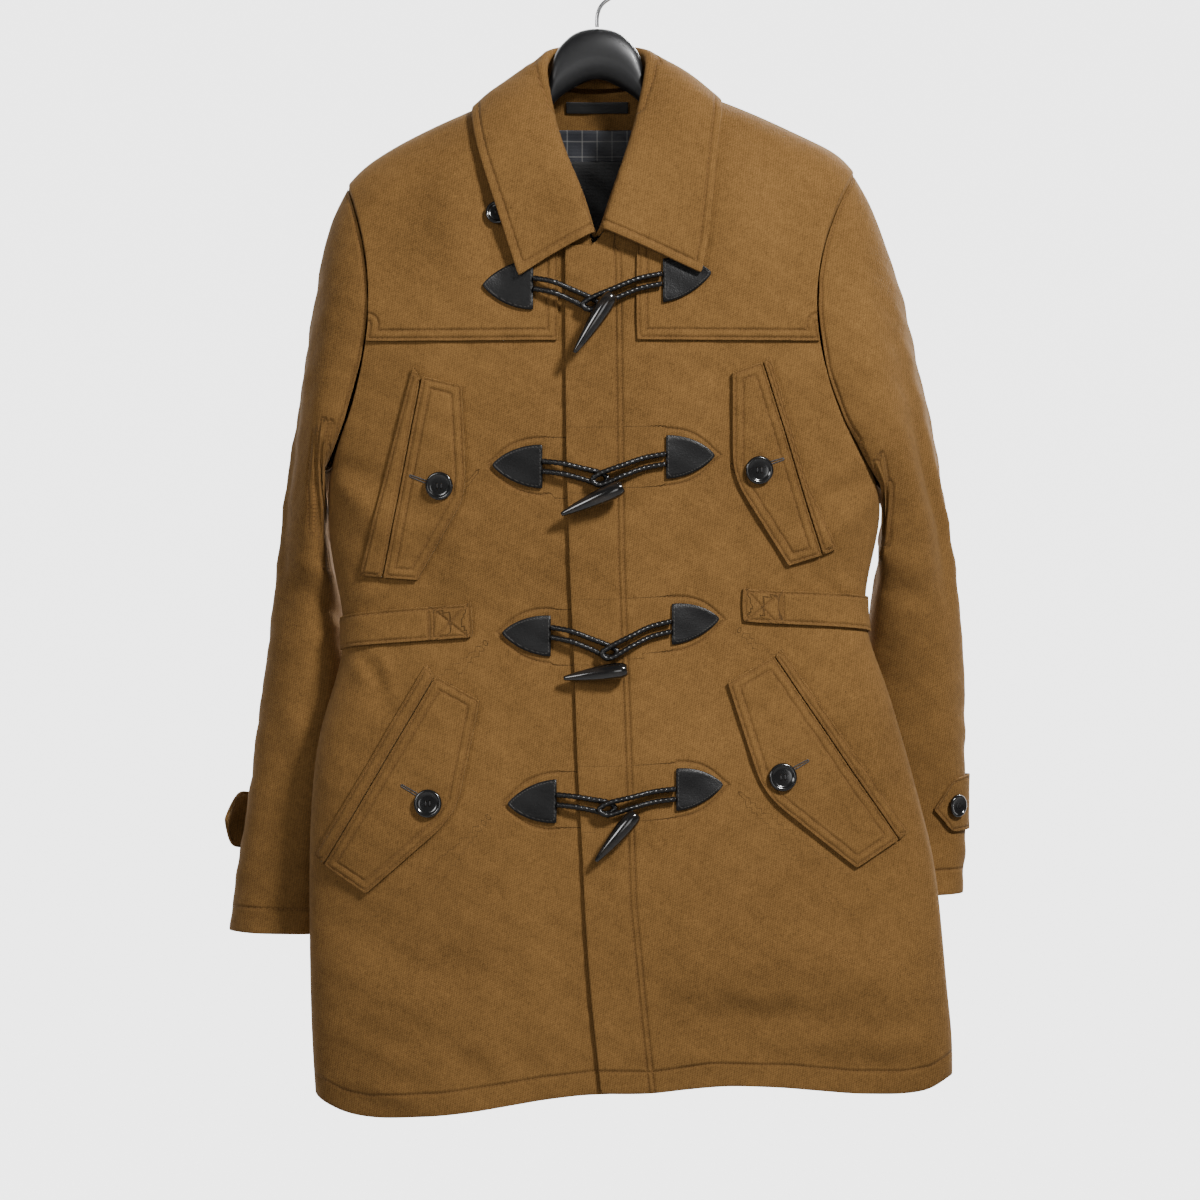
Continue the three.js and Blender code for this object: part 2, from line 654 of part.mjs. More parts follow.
// A place between the rows and columns of a grid. A looped grid's columns run on past its last one.
function pick(table, i, j, looped) {
  const cols = table[0].length;
  const i0 = clamp(Math.floor(i), 0, table.length - 2);
  const j0 = looped ? Math.floor(j) : clamp(Math.floor(j), 0, cols - 2);
  const a = (j0 + 2 * cols) % cols;
  const b = (j0 + 1 + 2 * cols) % cols;
  const lower = table[i0][a].clone().lerp(table[i0][b], j - j0);
  const upper = table[i0 + 1][a].clone().lerp(table[i0 + 1][b], j - j0);
  return lower.lerp(upper, i - i0);
}

// Row number at which one column of a grid reaches a height
function rowAt(grid, j, z) {
  for (let i = 0; i < grid.length - 1; i += 1) {
    if (grid[i + 1][j].z >= z) return i + (z - grid[i][j].z) / (grid[i + 1][j].z - grid[i][j].z);
  }
  return grid.length - 1;
}

// Waist tabs run from the front round the side seam to the back
const WAIST_TABS = {
  right: { frontX: -105, front: [-557, -586], side: [-570, -598], backColumns: 5 },
  left: { frontX: 122, front: [-545, -573], side: [-552, -582], backColumns: 5 },
};
const TAB_ROWS = 2;

function addWaistTab(side, front, backPanel) {
  const { frontX, front: frontZ, side: sideZ, backColumns } = WAIST_TABS[side];
  const last = front.grid[0].length - 1;
  const row = front.grid[Math.round(rowAt(front.grid, last, frontZ[0]))];
  const start = row.findIndex((p) => Math.abs(p.x) > Math.abs(frontX) && Math.sign(p.x) === Math.sign(frontX));
  const part = (Math.abs(frontX) - Math.abs(row[start - 1].x)) / Math.abs(row[start].x - row[start - 1].x);
  const stops = [[front, start - 1 + part]];
  for (let j = start; j <= last; j += 1) stops.push([front, j]);
  const backLast = backPanel.grid[0].length - 1;
  for (let j = 0; j <= backColumns; j += 1) stops.push([backPanel, side === 'right' ? j : backLast - j]);
  const outer = [];
  const inner = [];
  stops.forEach(([panel, j], n) => {
    const share = Math.min(n / (last - start + 1), 1);
    const outerRow = [];
    const innerRow = [];
    for (let i = 0; i <= TAB_ROWS; i += 1) {
      const top = lerp(frontZ[0], sideZ[0], share);
      const z = lerp(top, lerp(frontZ[1], sideZ[1], share), i / TAB_ROWS);
      const at = rowAt(panel.grid, Math.round(j), z);
      const point = pick(panel.grid, at, j, false);
      const normal = pick(panel.normals, at, j, false).normalize();
      innerRow.push(point.clone().addScaledVector(normal, TAB_GAP));
      outerRow.push(point.clone().addScaledVector(normal, TAB_GAP + TAB_WALL));
    }
    outer.push(outerRow);
    inner.push(innerRow);
  });
  addPiece(`waist_tab_${side}`, 'wool', wall(outer, inner, false));
}

// Cuff tabs: row range on the sleeve, turn at the seam end and at the tip, how far the tip stands off,
// and the button's step along the tab and its gap to it
const CUFF_TABS = {
  left: { rows: [10.15, 11.0], turns: [-2.1, 1.2], rise: 0, button: 12.1, seat: 0.9 },
  right: { rows: [10.0, 10.85], turns: [-2.5, -0.1], rise: 15, button: 9, seat: 1.6 },
};
const TAB_POINT = 0.36;
const TAB_STEPS = 14;
const CUFF_TAB_GAP = 1.5;

function cuffLift(side, share) {
  return CUFF_TAB_GAP + CUFF_TABS[side].rise * smooth(share, 0.55, 1) ** 1.5;
}

function addCuffTab(side, sleeve) {
  const { rows, turns } = CUFF_TABS[side];
  const perTurn = SLEEVE_COLUMNS / (2 * Math.PI);
  const outer = [];
  const inner = [];
  for (let i = 0; i <= TAB_STEPS; i += 1) {
    const outerRow = [];
    const innerRow = [];
    for (let v = 0; v <= 4; v += 1) {
      const end = turns[1] - TAB_POINT * Math.abs(v / 2 - 1);
      const turn = lerp(turns[0], end, i / TAB_STEPS);
      const k = lerp(rows[0], rows[1], v / 4);
      const point = pick(sleeve.grid, k, turn * perTurn, true);
      const normal = pick(sleeve.normals, k, turn * perTurn, true).normalize();
      const lift = cuffLift(side, i / TAB_STEPS);
      innerRow.push(point.clone().addScaledVector(normal, lift));
      outerRow.push(point.clone().addScaledVector(normal, lift + TAB_WALL));
    }
    outer.push(outerRow);
    inner.push(innerRow);
  }
  addPiece(`cuff_tab_${side}`, 'wool', wall(outer, inner, false));
  return { outer, normals: gridNormals(outer, false, (i, j, p) => p.clone().sub(inner[i][j])) };
}

// Buttons: a dished disc with a raised rim, its back at the origin and its face towards +Z
const BUTTON_RADIUS = 12;
const BUTTON_PROFILE = [[0, 0], [0.93, 0], [1, 0.5], [0.9, 1], [0.72, 0.85], [0, 0.66]];
const BUTTON_HEIGHT = 3.6;

function addButton(name, point, normal, radius) {
  const profile = BUTTON_PROFILE.map(([r, h]) => new THREE.Vector2(r * radius, h * BUTTON_HEIGHT));
  const geometry = new THREE.LatheGeometry(profile, 14);
  geometry.rotateX(Math.PI / 2);
  const turn = new THREE.Quaternion().setFromUnitVectors(new THREE.Vector3(0, 0, 1), normal);
  geometry.applyQuaternion(turn);
  geometry.translate(point.x, point.y, point.z);
  addPiece(name, 'horn', geometry);
}

function addButtons(panels, cuffTabs) {
  for (const [name, [x, z]] of Object.entries(POCKET_BUTTONS)) {
    const { point, normal } = onSheet(panels[name.split('_')[1]].grid, -1, x, z);
    point.addScaledVector(normal, LAY_GAP + FLAP_WALL + BUTTON_SEAT);
    addButton(`button_${name}`, point, normal, BUTTON_RADIUS);
  }
  for (const side of ['left', 'right']) {
    const { button: at, seat } = CUFF_TABS[side];
    const point = pick(cuffTabs[side].outer, at, 2, false);
    const normal = pick(cuffTabs[side].normals, at, 2, false).normalize();
    point.addScaledVector(normal, seat);
    addButton(`button_cuff_${side}`, point, normal, CUFF_BUTTON_RADIUS);
  }
  const neck = onSheet(panels.right.grid, -1, NECK_BUTTON[0], NECK_BUTTON[1]);
  neck.point.addScaledVector(neck.normal, LAY_GAP + YOKE_WALL + BUTTON_SEAT);
  addButton('button_neck', neck.point, neck.normal, CUFF_BUTTON_RADIUS);
}

const BUTTON_SEAT = 0.6;
const CUFF_BUTTON_RADIUS = 10;
const NECK_BUTTON = [-84, -229];

// Collar stations from one front end round the neck to the other.
// Columns: seam z, roll x, y, z, outer edge x, z, lift of the middle and of the edge above the body
const COLLAR_FRONT = {
  right: [
    [-251, -4, -69, -246, -66, -283, 9, 8.8],
    [-237, -12, -66, -215, -78, -246, 10, 9.5],
    [-215, -21, -61, -194, -89, -213, 11.5, 12.8],
    [-180, -34, -51, -164, -98, -184, 12, 10],
    [-151, -41, -35, -135, -103, -160, 13, 9],
    [-126, -45.5, -17, -108, -105, -144, 14, 9],
  ],
  left: [
    [-250, 5, -74, -243, 87.5, -280.5, 9, 8.8],
    [-235, 13, -70, -215, 93, -256, 9.5, 9],
    [-213, 21, -63, -192, 97, -222, 11, 8.5],
    [-177, 30, -50, -165, 100, -188, 12, 8.5],
    [-149, 37, -34, -137, 102, -162, 14, 11.5],
    [-124, 43, -16, -106, 104, -141, 15, 12],
  ],
};
// Columns: seam x, y, z, roll x, y, z, middle x, y, z, outer edge x, y, z
const COLLAR_BACK = [
  [-54, -1, -108, -47, 0, -89, -78, 1, -104, -105, 4, -126],
  [-42, 9, -108, -40, 14, -79, -66, 30, -105, -91, 38, -146],
  [-23, 16, -112, -23, 23, -76, -37, 40, -109, -50, 48, -157],
  [0, 19, -113, 0, 26, -75, 0, 43, -109, 0, 52, -160],
  [23, 16, -112, 23, 23, -76, 37, 40, -107, 50, 48, -156],
  [42, 9, -107, 39.5, 14, -79, 66, 30, -101, 91, 38, -143],
  [54, -1, -107, 46, 0, -85, 78, 1, -97, 105, 4, -118.5],
];
const ROLL_RADIUS = 3.6;
const SEAM_INSET = 3;
const COLLAR_SAMPLES = [0, 0.1, 0.2, 0.27, 0.33, 0.385, 0.43, 0.48, 0.54, 0.62, 0.71, 0.8, 0.9, 1];
const NECK_AXIS = new THREE.Vector3(0, -12, 0);

function collarCurve(seam, roll, middle, edge) {
  const away = new THREE.Vector3(roll.x - NECK_AXIS.x, roll.y - NECK_AXIS.y, 0).normalize();
  const toSeam = seam.clone().sub(roll).normalize();
  const toMiddle = middle.clone().sub(roll).normalize();
  const before = roll.clone().addScaledVector(away, -ROLL_RADIUS).addScaledVector(toSeam, ROLL_RADIUS);
  const after = roll.clone().addScaledVector(away, ROLL_RADIUS).addScaledVector(toMiddle, ROLL_RADIUS);
  const curve = new THREE.CatmullRomCurve3([seam, before, roll, after, middle, edge], false, 'centripetal');
  return COLLAR_SAMPLES.map((t) => curve.getPoint(t));
}

// Foot of the stand: the neck edge of a front at one height, moved a little into the neck
function neckSeam(grid, side, z) {
  const out = ARMHOLE[side === 'left' ? 'right' : 'left'].out;
  const edge = grid[grid.length - 1].filter((p) => p.x * out > -1);
  const next = Math.max(edge.findIndex((p) => p.z >= z), 1);
  const share = clamp((z - edge[next - 1].z) / (edge[next].z - edge[next - 1].z), 0, 1);
  const point = edge[next - 1].clone().lerp(edge[next], share);
  return point.add(new THREE.Vector3(-out * SEAM_INSET * 0.75, BODY_WALL / 2, SEAM_INSET * 0.75));
}

function addCollar(panels) {
  const frontStation = (side) => ([sz, rx, ry, rz, ex, ez, middleLift, edgeLift]) => {
    const { grid } = panels[side];
    const seam = neckSeam(grid, side, sz);
    const roll = new THREE.Vector3(rx, ry, rz);
    const half = onSheet(grid, -1, lerp(rx, ex, 0.52), lerp(rz, ez, 0.52));
    const rim = onSheet(grid, -1, ex, ez);
    return collarCurve(
      seam,
      roll,
      half.point.addScaledVector(half.normal, middleLift),
      rim.point.addScaledVector(rim.normal, edgeLift),
    );
  };
  const backStation = ([sx, sy, sz, rx, ry, rz, mx, my, mz, ex, ey, ez]) => collarCurve(
    new THREE.Vector3(sx, sy, sz),
    new THREE.Vector3(rx, ry, rz),
    new THREE.Vector3(mx, my, mz),
    new THREE.Vector3(ex, ey, ez),
  );
  const grid = [
    ...COLLAR_FRONT.right.map(frontStation('right')),
    ...COLLAR_BACK.map(backStation),
    ...[...COLLAR_FRONT.left].reverse().map(frontStation('left')),
  ];
  const normals = gridNormals(grid, false, null);
  const half = COLLAR_WALL / 2;
  addPiece('collar', 'wool', wall(moved(grid, normals, half), moved(grid, normals, -half), false));
}

// Toggle fastenings, top to bottom: patch tips and edges, toggle ends, strand ends on the patches, loop turn
const FASTENINGS = [
  {
    rightPatch: { tip: [-96, -290], edgeX: -53.6, edgeZ: [-269, -311] },
    leftPatch: { tip: [96, -280], edgeX: 55, edgeZ: [-268, -305] },
    fat: [13, -299], tip: [-19, -348], drop: 0, rightEnds: [-284, -293], leftEnds: [-280.5, -289], turn: [-12, -307],
  },
  {
    rightPatch: { tip: [-88, -441], edgeX: -46, edgeZ: [-424, -461] },
    leftPatch: { tip: [99, -433], edgeX: 58, edgeZ: [-416, -453] },
    fat: [22, -460], tip: [-30, -483], drop: 3.5, rightEnds: [-438, -446.5], leftEnds: [-432, -440.5], turn: [-4, -454],
  },
  {
    rightPatch: { tip: [-80, -583], edgeX: -39, edgeZ: [-568, -603] },
    leftPatch: { tip: [103, -571], edgeX: 63, edgeZ: [-558, -593] },
    fat: [25.5, -613.5], tip: [-28, -621], drop: 7.5, rightEnds: [-578, -586.5], leftEnds: [-573, -581.5], turn: [4, -600],
  },
  {
    rightPatch: { tip: [-75, -727], edgeX: -34, edgeZ: [-706, -743] },
    leftPatch: { tip: [106, -711], edgeX: 66.5, edgeZ: [-697, -733] },
    fat: [33, -734], tip: [-1, -774], drop: 6.2, rightEnds: [-719, -727.5], leftEnds: [-714, -722.5], turn: [2, -731],
  },
];
const CORD_RADIUS = 2.3;
const CORD_REACH = 13;
const CORD_LIFT = CORD_RADIUS + 0.7;
const LOOP_LIFT = CORD_LIFT + 2 * CORD_RADIUS + 0.6;
const TOGGLE_RADIUS = 7.5;
const TOGGLE_PROFILE = [[0, 0.6], [0.06, 0.95], [0.3, 1], [0.6, 0.8], [0.85, 0.5], [1, 0.25]];

function addPatch(name, grid, { tip, edgeX, edgeZ }, lift) {
  const steps = 6;
  const middle = (edgeZ[0] + edgeZ[1]) / 2;
  const half = (edgeZ[0] - edgeZ[1]) / 2;
  const side = (sign) => Array.from({ length: steps + 1 }, (_, i) => {
    const share = i / steps;
    const width = half * (1 - share ** 1.9) ** 0.85 + 1.4 * share;
    return [lerp(edgeX, tip[0], share), lerp(middle, tip[1], share) + sign * width];
  });
  addPiece(name, 'leather', laid(grid, -1, side(1), side(-1), 6, 2, lift, LEATHER_WALL));
}

function tubeAlong(points, radius, sides, steps) {
  const curve = new THREE.CatmullRomCurve3(points, false, 'centripetal');
  const shape = new THREE.Shape(Array.from({ length: sides }, (_, i) => {
    const turn = 2 * Math.PI * i / sides;
    return new THREE.Vector2(radius * Math.cos(turn), radius * Math.sin(turn));
  }));
  return new THREE.ExtrudeGeometry(shape, { steps, extrudePath: curve, curveSegments: 1, bevelEnabled: false });
}

// The outermost front at a place: the left one where it laps, the right one beside it
function frontY(panels, x, z) {
  return sheetY(panels.left.grid, x, z) ?? sheetY(panels.right.grid, x, z);
}

// Route of a doubled cord: out from the patch, round its turn and back
function cordRoute(panels, edgeX, ends, turn, lowLift, highLift) {
  const dir = Math.sign(turn[0] - edgeX);
  const at = (x, z, lift) => {
    const y = Math.min(frontY(panels, x, z), frontY(panels, x + dir * CORD_REACH, z));
    return new THREE.Vector3(x, y - lift, z);
  };
  const open = 4.6;
  const strand = (z, sign) => [
    at(edgeX + dir * 0.4, z, lowLift),
    at(lerp(edgeX, turn[0], 0.3), lerp(z, turn[1] + sign * open, 0.2), lowLift),
    at(lerp(edgeX, turn[0], 0.58), lerp(z, turn[1] + sign * open, 0.55), lerp(lowLift, highLift, 0.75)),
    at(turn[0] - dir * 5, turn[1] + sign * open * 0.95, highLift),
  ];
  return [...strand(ends[0], 1), at(turn[0], turn[1], highLift), ...strand(ends[1], -1).reverse()];
}

function addFastening(number, panels) {
  const spec = FASTENINGS[number - 1];
  const patchLift = number === 1 ? LAY_GAP + YOKE_WALL + 0.6 : LAY_GAP;
  addPatch(`patch_right_${number}`, panels.right.grid, spec.rightPatch, patchLift);
  addPatch(`patch_left_${number}`, panels.left.grid, spec.leftPatch, patchLift);
  const rightLow = CORD_LIFT + (number === 1 ? YOKE_WALL + 0.6 : 0);
  const inner = [spec.turn[0] + 13, spec.turn[1] + 1];
  const rightRoute = cordRoute(panels, spec.rightPatch.edgeX, spec.rightEnds, inner, rightLow, CORD_LIFT);
  addPiece(`cord_right_${number}`, 'leather', tubeAlong(rightRoute, CORD_RADIUS, 8, 14));
  const loopRoute = cordRoute(panels, spec.leftPatch.edgeX, spec.leftEnds, spec.turn, rightLow, LOOP_LIFT);
  addPiece(`cord_left_${number}`, 'leather', tubeAlong(loopRoute, CORD_RADIUS, 8, 18));
  const lift = LOOP_LIFT + CORD_RADIUS + 0.5 - spec.drop;
  const fat = new THREE.Vector3(spec.fat[0], frontY(panels, ...spec.fat) - lift - TOGGLE_RADIUS, spec.fat[1]);
  const tip = new THREE.Vector3(spec.tip[0], frontY(panels, ...spec.tip) - lift - TOGGLE_RADIUS * 0.7, spec.tip[1]);
  const axis = tip.clone().sub(fat);
  const length = axis.length();
  const profile = TOGGLE_PROFILE.map(([t, r]) => new THREE.Vector2(r * TOGGLE_RADIUS, t * length));
  profile.unshift(new THREE.Vector2(0, 0));
  profile.push(new THREE.Vector2(0, length));
  const geometry = new THREE.LatheGeometry(profile, 12);
  geometry.applyQuaternion(new THREE.Quaternion().setFromUnitVectors(new THREE.Vector3(0, 1, 0), axis.normalize()));
  geometry.translate(fat.x, fat.y, fat.z);
  addPiece(`toggle_${number}`, 'horn', geometry);
}

// Hanger arms. Columns: x, top z, bottom z, half depth. Past the neck the top follows the shoulder ridge.
const HANGER_HEAD = [[0, -62, -105, 9], [15, -64, -111, 9], [28, -71.5, -120, 9], [37, -83, -128, 9]];
const HANGER_NECK = [[40.5, -100, -134, 7], [45, -119, -140, 6.5], [55, -130, -150, 7]];
const HANGER_ARM = [70, 90, 110, 130, 150, 170, 185, 195];
const HANGER_SECTION = 10;
const HANGER_GAP = 1.1;

function addHanger() {
  const arm = (sign) => HANGER_ARM.map((x) => {
    const height = x > 180 ? 20 : 28;
    const top = sample(RIDGE, sign * x, 1) - BODY_WALL - HANGER_GAP;
    return [x, top, top - height, 9];
  });
  const half = (sign) => [...HANGER_HEAD, ...HANGER_NECK, ...arm(sign)].map(([x, ...rest]) => [sign * x, ...rest]);
  const stations = [...half(-1).reverse(), ...half(1).slice(1)];
  const rings = stations.map(([x, top, bottom, depth]) => Array.from({ length: HANGER_SECTION }, (_, i) => {
    const turn = 2 * Math.PI * i / HANGER_SECTION;
    const z = (top + bottom) / 2 + Math.cos(turn) * (top - bottom) / 2;
    return new THREE.Vector3(x, depth * Math.sin(turn), z);
  }));
  const points = rings.flat();
  const faces = [];
  const n = HANGER_SECTION;
  for (let k = 0; k < rings.length - 1; k += 1) {
    for (let i = 0; i < n; i += 1) {
      const a = k * n + i;
      const b = k * n + (i + 1) % n;
      faces.push([a, b, b + n], [a, b + n, a + n]);
    }
  }
  const end = (rings.length - 1) * n;
  for (let i = 1; i < n - 1; i += 1) faces.push([0, i + 1, i], [end, end + i, end + i + 1]);
  addPiece('hanger', 'hanger', solid(points, faces));
}

// Hook: a wire whose crook bears on the rail at the origin
const WIRE_RADIUS = 2;
const CROOK_RADIUS = 21;
const CROOK_Z = WIRE_RADIUS - CROOK_RADIUS;
const CROOK_START = -0.9;
const CROOK_END = 3.6;

function addHook() {
  const foot = HANGER_HEAD[0][1] + SEAM_GAP;
  const points = [new THREE.Vector3(0, 0, foot), new THREE.Vector3(0, 0, -52), new THREE.Vector3(4, 0, -42)];
  for (let i = 0; i <= 12; i += 1) {
    const turn = lerp(CROOK_START, CROOK_END, i / 12);
    points.push(new THREE.Vector3(CROOK_RADIUS * Math.cos(turn), 0, CROOK_Z + CROOK_RADIUS * Math.sin(turn)));
  }
  addPiece('hook', 'steel', tubeAlong(points, WIRE_RADIUS, 8, 26));
}

// Inside the back of the neck: the lining where it shows, a plain label on it, and a tape loop
function addNeckPieces(backPanel) {
  const lining = [[[-60, -146], [-60, -330]], [[60, -146], [60, -330]]];
  const label = [[[-36, -172], [-36, -250]], [[36, -172], [36, -250]]];
  const loop = [[[-27, -123], [-27, -132]], [[27, -123], [27, -132]]];
  const sheet = backPanel.inner;
  addPiece('back_lining', 'lining', laid(sheet, -1, ...lining, 7, 6, TAB_GAP, LINING_WALL));
  addPiece('neck_label', 'label', laid(sheet, -1, ...label, 5, 5, TAB_GAP + LINING_WALL + 0.8, LABEL_WALL));
  addPiece('hanger_loop', 'label', laid(sheet, -1, ...loop, 1, 6, LAY_GAP, LABEL_WALL));
}

const fronts = addFronts();
const back = addBack();
const sleeves = addSleeves();
addPockets(fronts);
addYoke('right', fronts.right);
addYoke('left', fronts.left);
addWaistTab('right', fronts.right, back);
addWaistTab('left', fronts.left, back);
const cuffTabs = { right: addCuffTab('right', sleeves.right), left: addCuffTab('left', sleeves.left) };
addButtons(fronts, cuffTabs);
addCollar(fronts);
for (let number = 1; number <= FASTENINGS.length; number += 1) addFastening(number, fronts);
addHanger();
addHook();
addNeckPieces(back);
export default coat;
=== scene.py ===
# Camel duffle coat hanging on a black hanger. Metres, +Z up, the front of the coat towards -Y.
import math
import bpy
import numpy as np
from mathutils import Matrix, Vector
from mathutils.bvhtree import BVHTree


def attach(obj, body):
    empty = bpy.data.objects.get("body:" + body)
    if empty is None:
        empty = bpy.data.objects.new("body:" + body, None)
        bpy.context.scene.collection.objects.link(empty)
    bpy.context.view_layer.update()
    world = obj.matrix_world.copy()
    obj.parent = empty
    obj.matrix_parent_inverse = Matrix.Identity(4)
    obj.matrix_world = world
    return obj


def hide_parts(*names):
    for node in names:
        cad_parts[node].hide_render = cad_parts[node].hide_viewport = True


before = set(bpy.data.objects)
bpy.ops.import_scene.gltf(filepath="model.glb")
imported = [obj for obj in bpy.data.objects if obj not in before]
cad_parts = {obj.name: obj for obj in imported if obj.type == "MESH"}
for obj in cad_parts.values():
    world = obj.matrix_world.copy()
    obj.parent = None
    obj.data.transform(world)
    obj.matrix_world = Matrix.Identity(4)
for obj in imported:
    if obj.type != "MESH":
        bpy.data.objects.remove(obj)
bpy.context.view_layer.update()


# Studio: a long lens at waist height square to the coat, and a pale glowing wall far behind it. A hard
# lamp stands high on the right, with soft ones on the left and low in front, so the creases and the
# edges of the placket and pockets throw short shadows, and another lights the back.
camera_data = bpy.data.cameras.new("studio_camera")
camera_data.lens = 105.9
camera_data.sensor_width = 36
camera = bpy.data.objects.new("studio_camera", camera_data)
camera.location = (0.0025, -3.04, -0.555)
camera.rotation_euler = (math.radians(90), 0, 0)
bpy.context.collection.objects.link(camera)
bpy.context.scene.camera = camera


def pale_paint(name, colour, glow):
    paint = bpy.data.materials.new(name)
    paint.use_nodes = True
    shader = paint.node_tree.nodes["Principled BSDF"]
    shader.inputs["Base Color"].default_value = (*colour, 1)
    shader.inputs["Roughness"].default_value = 0.9
    shader.inputs["Emission Color"].default_value = (1, 1, 1, 1)
    shader.inputs["Emission Strength"].default_value = glow
    return paint


for name, place, turn, tone, glow in (
    ("wall", (0, 7, 1), (math.radians(90), 0, 0), 0.86, 3.4),
    ("floor", (0, 0, -2.7), (0, 0, 0), 0.48, 0.0),
):
    bpy.ops.mesh.primitive_plane_add(size=26, location=place, rotation=turn)
    ground = bpy.context.object
    ground.name = "studio_" + name
    ground.data.materials.append(pale_paint("studio_" + name, (tone, tone, tone), glow))

for name, place, size, power in (
    ("key", (1.8, -2.4, 1.7), 0.6, 16),
    ("fill", (-2.3, -2.6, 0.4), 1.2, 3.2),
    ("low", (0.2, -3.6, -0.6), 1.4, 1.2),
    ("behind", (1.6, 2.6, 1.9), 0.8, 15),
):
    lamp_data = bpy.data.lights.new("lamp_" + name, "AREA")
    lamp_data.size = size
    lamp_data.energy = power
    lamp_data.spread = math.radians(46)
    lamp = bpy.data.objects.new("lamp_" + name, lamp_data)
    lamp.location = place
    aim = Vector((0, 0, -0.5)) - Vector(place)
    lamp.rotation_euler = aim.to_track_quat("-Z", "Y").to_euler()
    bpy.context.collection.objects.link(lamp)

world = bpy.data.worlds.new("studio_air")
world.use_nodes = True
world.node_tree.nodes["Background"].inputs["Color"].default_value = (1, 1, 1, 1)
world.node_tree.nodes["Background"].inputs["Strength"].default_value = 0.14
bpy.context.scene.world = world


# Toggle cords: round braids of black leather, doubled. On the right front each pair runs out from its
# patch to the toggle; on the left front each pair makes the loop that goes round it.
def sheet_finder(*nodes):
    trees = [BVHTree.FromPolygons(
        [v.co.copy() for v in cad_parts[n].data.vertices],
        [list(p.vertices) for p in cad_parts[n].data.polygons],
    ) for n in nodes]

    def front_y(x, z):
        hits = [tree.ray_cast(Vector((x, -1, z)), Vector((0, 1, 0)))[0] for tree in trees]
        return min(hit.y for hit in hits if hit is not None)

    return front_y


front_y = sheet_finder("front_left", "front_right")
CORD_RADIUS = 0.0023
BRAID_PITCH = 0.0088
CORD_LIFT = 0.003
LOOP_LIFT = 0.0082
YOKE_STEP = 0.0026
CORDS = [
    # patch edge x, strand heights, turn x and z on the right front, then the same on the left front
    (-53.6, (-284, -293), (1, -306), 55, (-280.5, -289), (-12, -307)),
    (-46, (-438, -446.5), (9, -453), 58, (-432, -440.5), (-4, -454)),
    (-39, (-578, -586.5), (17, -599), 63, (-573, -581.5), (4, -600)),
    (-34, (-719, -727.5), (15, -730), 66.5, (-714, -722.5), (2, -731)),
]


def cord_route(edge, ends, turn, low, high):
    way = math.copysign(1, turn[0] - edge)
    spread = 4.6

    def at(x, z, lift):
        y = min(front_y(x / 1000, z / 1000), front_y((x + way * 13) / 1000, z / 1000))
        return Vector((x / 1000, y - lift, z / 1000))

    def mix(a, b, t):
        return a + (b - a) * t

    def strand(z, sign):
        return [
            at(edge + way * 0.4, z, low),
            at(mix(edge, turn[0], 0.3), mix(z, turn[1] + sign * spread, 0.2), low),
            at(mix(edge, turn[0], 0.58), mix(z, turn[1] + sign * spread, 0.55), mix(low, high, 0.75)),
            at(turn[0] - way * 5, turn[1] + sign * spread * 0.95, high),
        ]

    return strand(ends[0], 1) + [at(turn[0], turn[1], high)] + strand(ends[1], -1)[::-1]


def smooth_path(points, steps):
    """Centripetal curve through the points, sampled evenly along its length."""
    ends = [points[0] * 2 - points[1]] + list(points) + [points[-1] * 2 - points[-2]]
    dense = []
    for a, b, c, d in zip(ends, ends[1:], ends[2:], ends[3:]):
        t1 = (b - a).length ** 0.5
        t2 = t1 + (c - b).length ** 0.5
        t3 = t2 + (d - c).length ** 0.5
        for i in range(24):
            t = t1 + (t2 - t1) * i / 24
            ab = a * ((t1 - t) / t1) + b * (t / t1)
            bc = b * ((t2 - t) / (t2 - t1)) + c * ((t - t1) / (t2 - t1))
            cd = c * ((t3 - t) / (t3 - t2)) + d * ((t - t2) / (t3 - t2))
            left = ab * ((t2 - t) / t2) + bc * (t / t2)
            right = bc * ((t3 - t) / (t3 - t1)) + cd * ((t - t1) / (t3 - t1))
            dense.append(left * ((t2 - t) / (t2 - t1)) + right * ((t - t1) / (t2 - t1)))
    dense = np.array([list(p) for p in dense] + [list(points[-1])])
    run = np.concatenate([[0], np.cumsum(np.linalg.norm(np.diff(dense, axis=0), axis=1))])
    even = np.linspace(0, run[-1], steps)
    return np.stack([np.interp(even, run, dense[:, k]) for k in range(3)], axis=1), run[-1]


def plain_nodes(name, colour, roughness):
    """A new material with its tree and its Principled shader, colour and roughness set."""
    made = bpy.data.materials.new(name)
    made.use_nodes = True
    shader = made.node_tree.nodes["Principled BSDF"]
    shader.inputs["Base Color"].default_value = (*colour, 1)
    shader.inputs["Roughness"].default_value = roughness
    return made, made.node_tree, shader


def add(tree, kind, links=(), **settings):
    """Adds a node. Links are (input, socket or value) pairs, and settings are the node's own properties."""
    made = tree.nodes.new(kind)
    for key, value in settings.items():
        setattr(made, key, value)
    for slot, value in links:
        if isinstance(value, bpy.types.NodeSocket):
            tree.links.new(value, made.inputs[slot])
        else:
            made.inputs[slot].default_value = value
    return made


def raise_skin(tree, shader, height, strength, distance):
    """Feeds a height into the shader's normal."""
    links = [("Height", height), ("Strength", strength), ("Distance", distance)]
    bump = add(tree, "ShaderNodeBump", links)
    tree.links.new(bump.outputs["Normal"], shader.inputs["Normal"])


def braided_leather():
    made, tree, shader = plain_nodes("braided_leather", (0.004, 0.0036, 0.0036), 0.34)
    shader.inputs["Specular IOR Level"].default_value = 0.4
    place = add(tree, "ShaderNodeTexCoord")
    grain = add(tree, "ShaderNodeTexNoise", [("Vector", place.outputs["Object"]), ("Scale", 1400.0)])
    raise_skin(tree, shader, grain.outputs["Fac"], 0.25, 0.0004)
    return made


cord_leather = braided_leather()


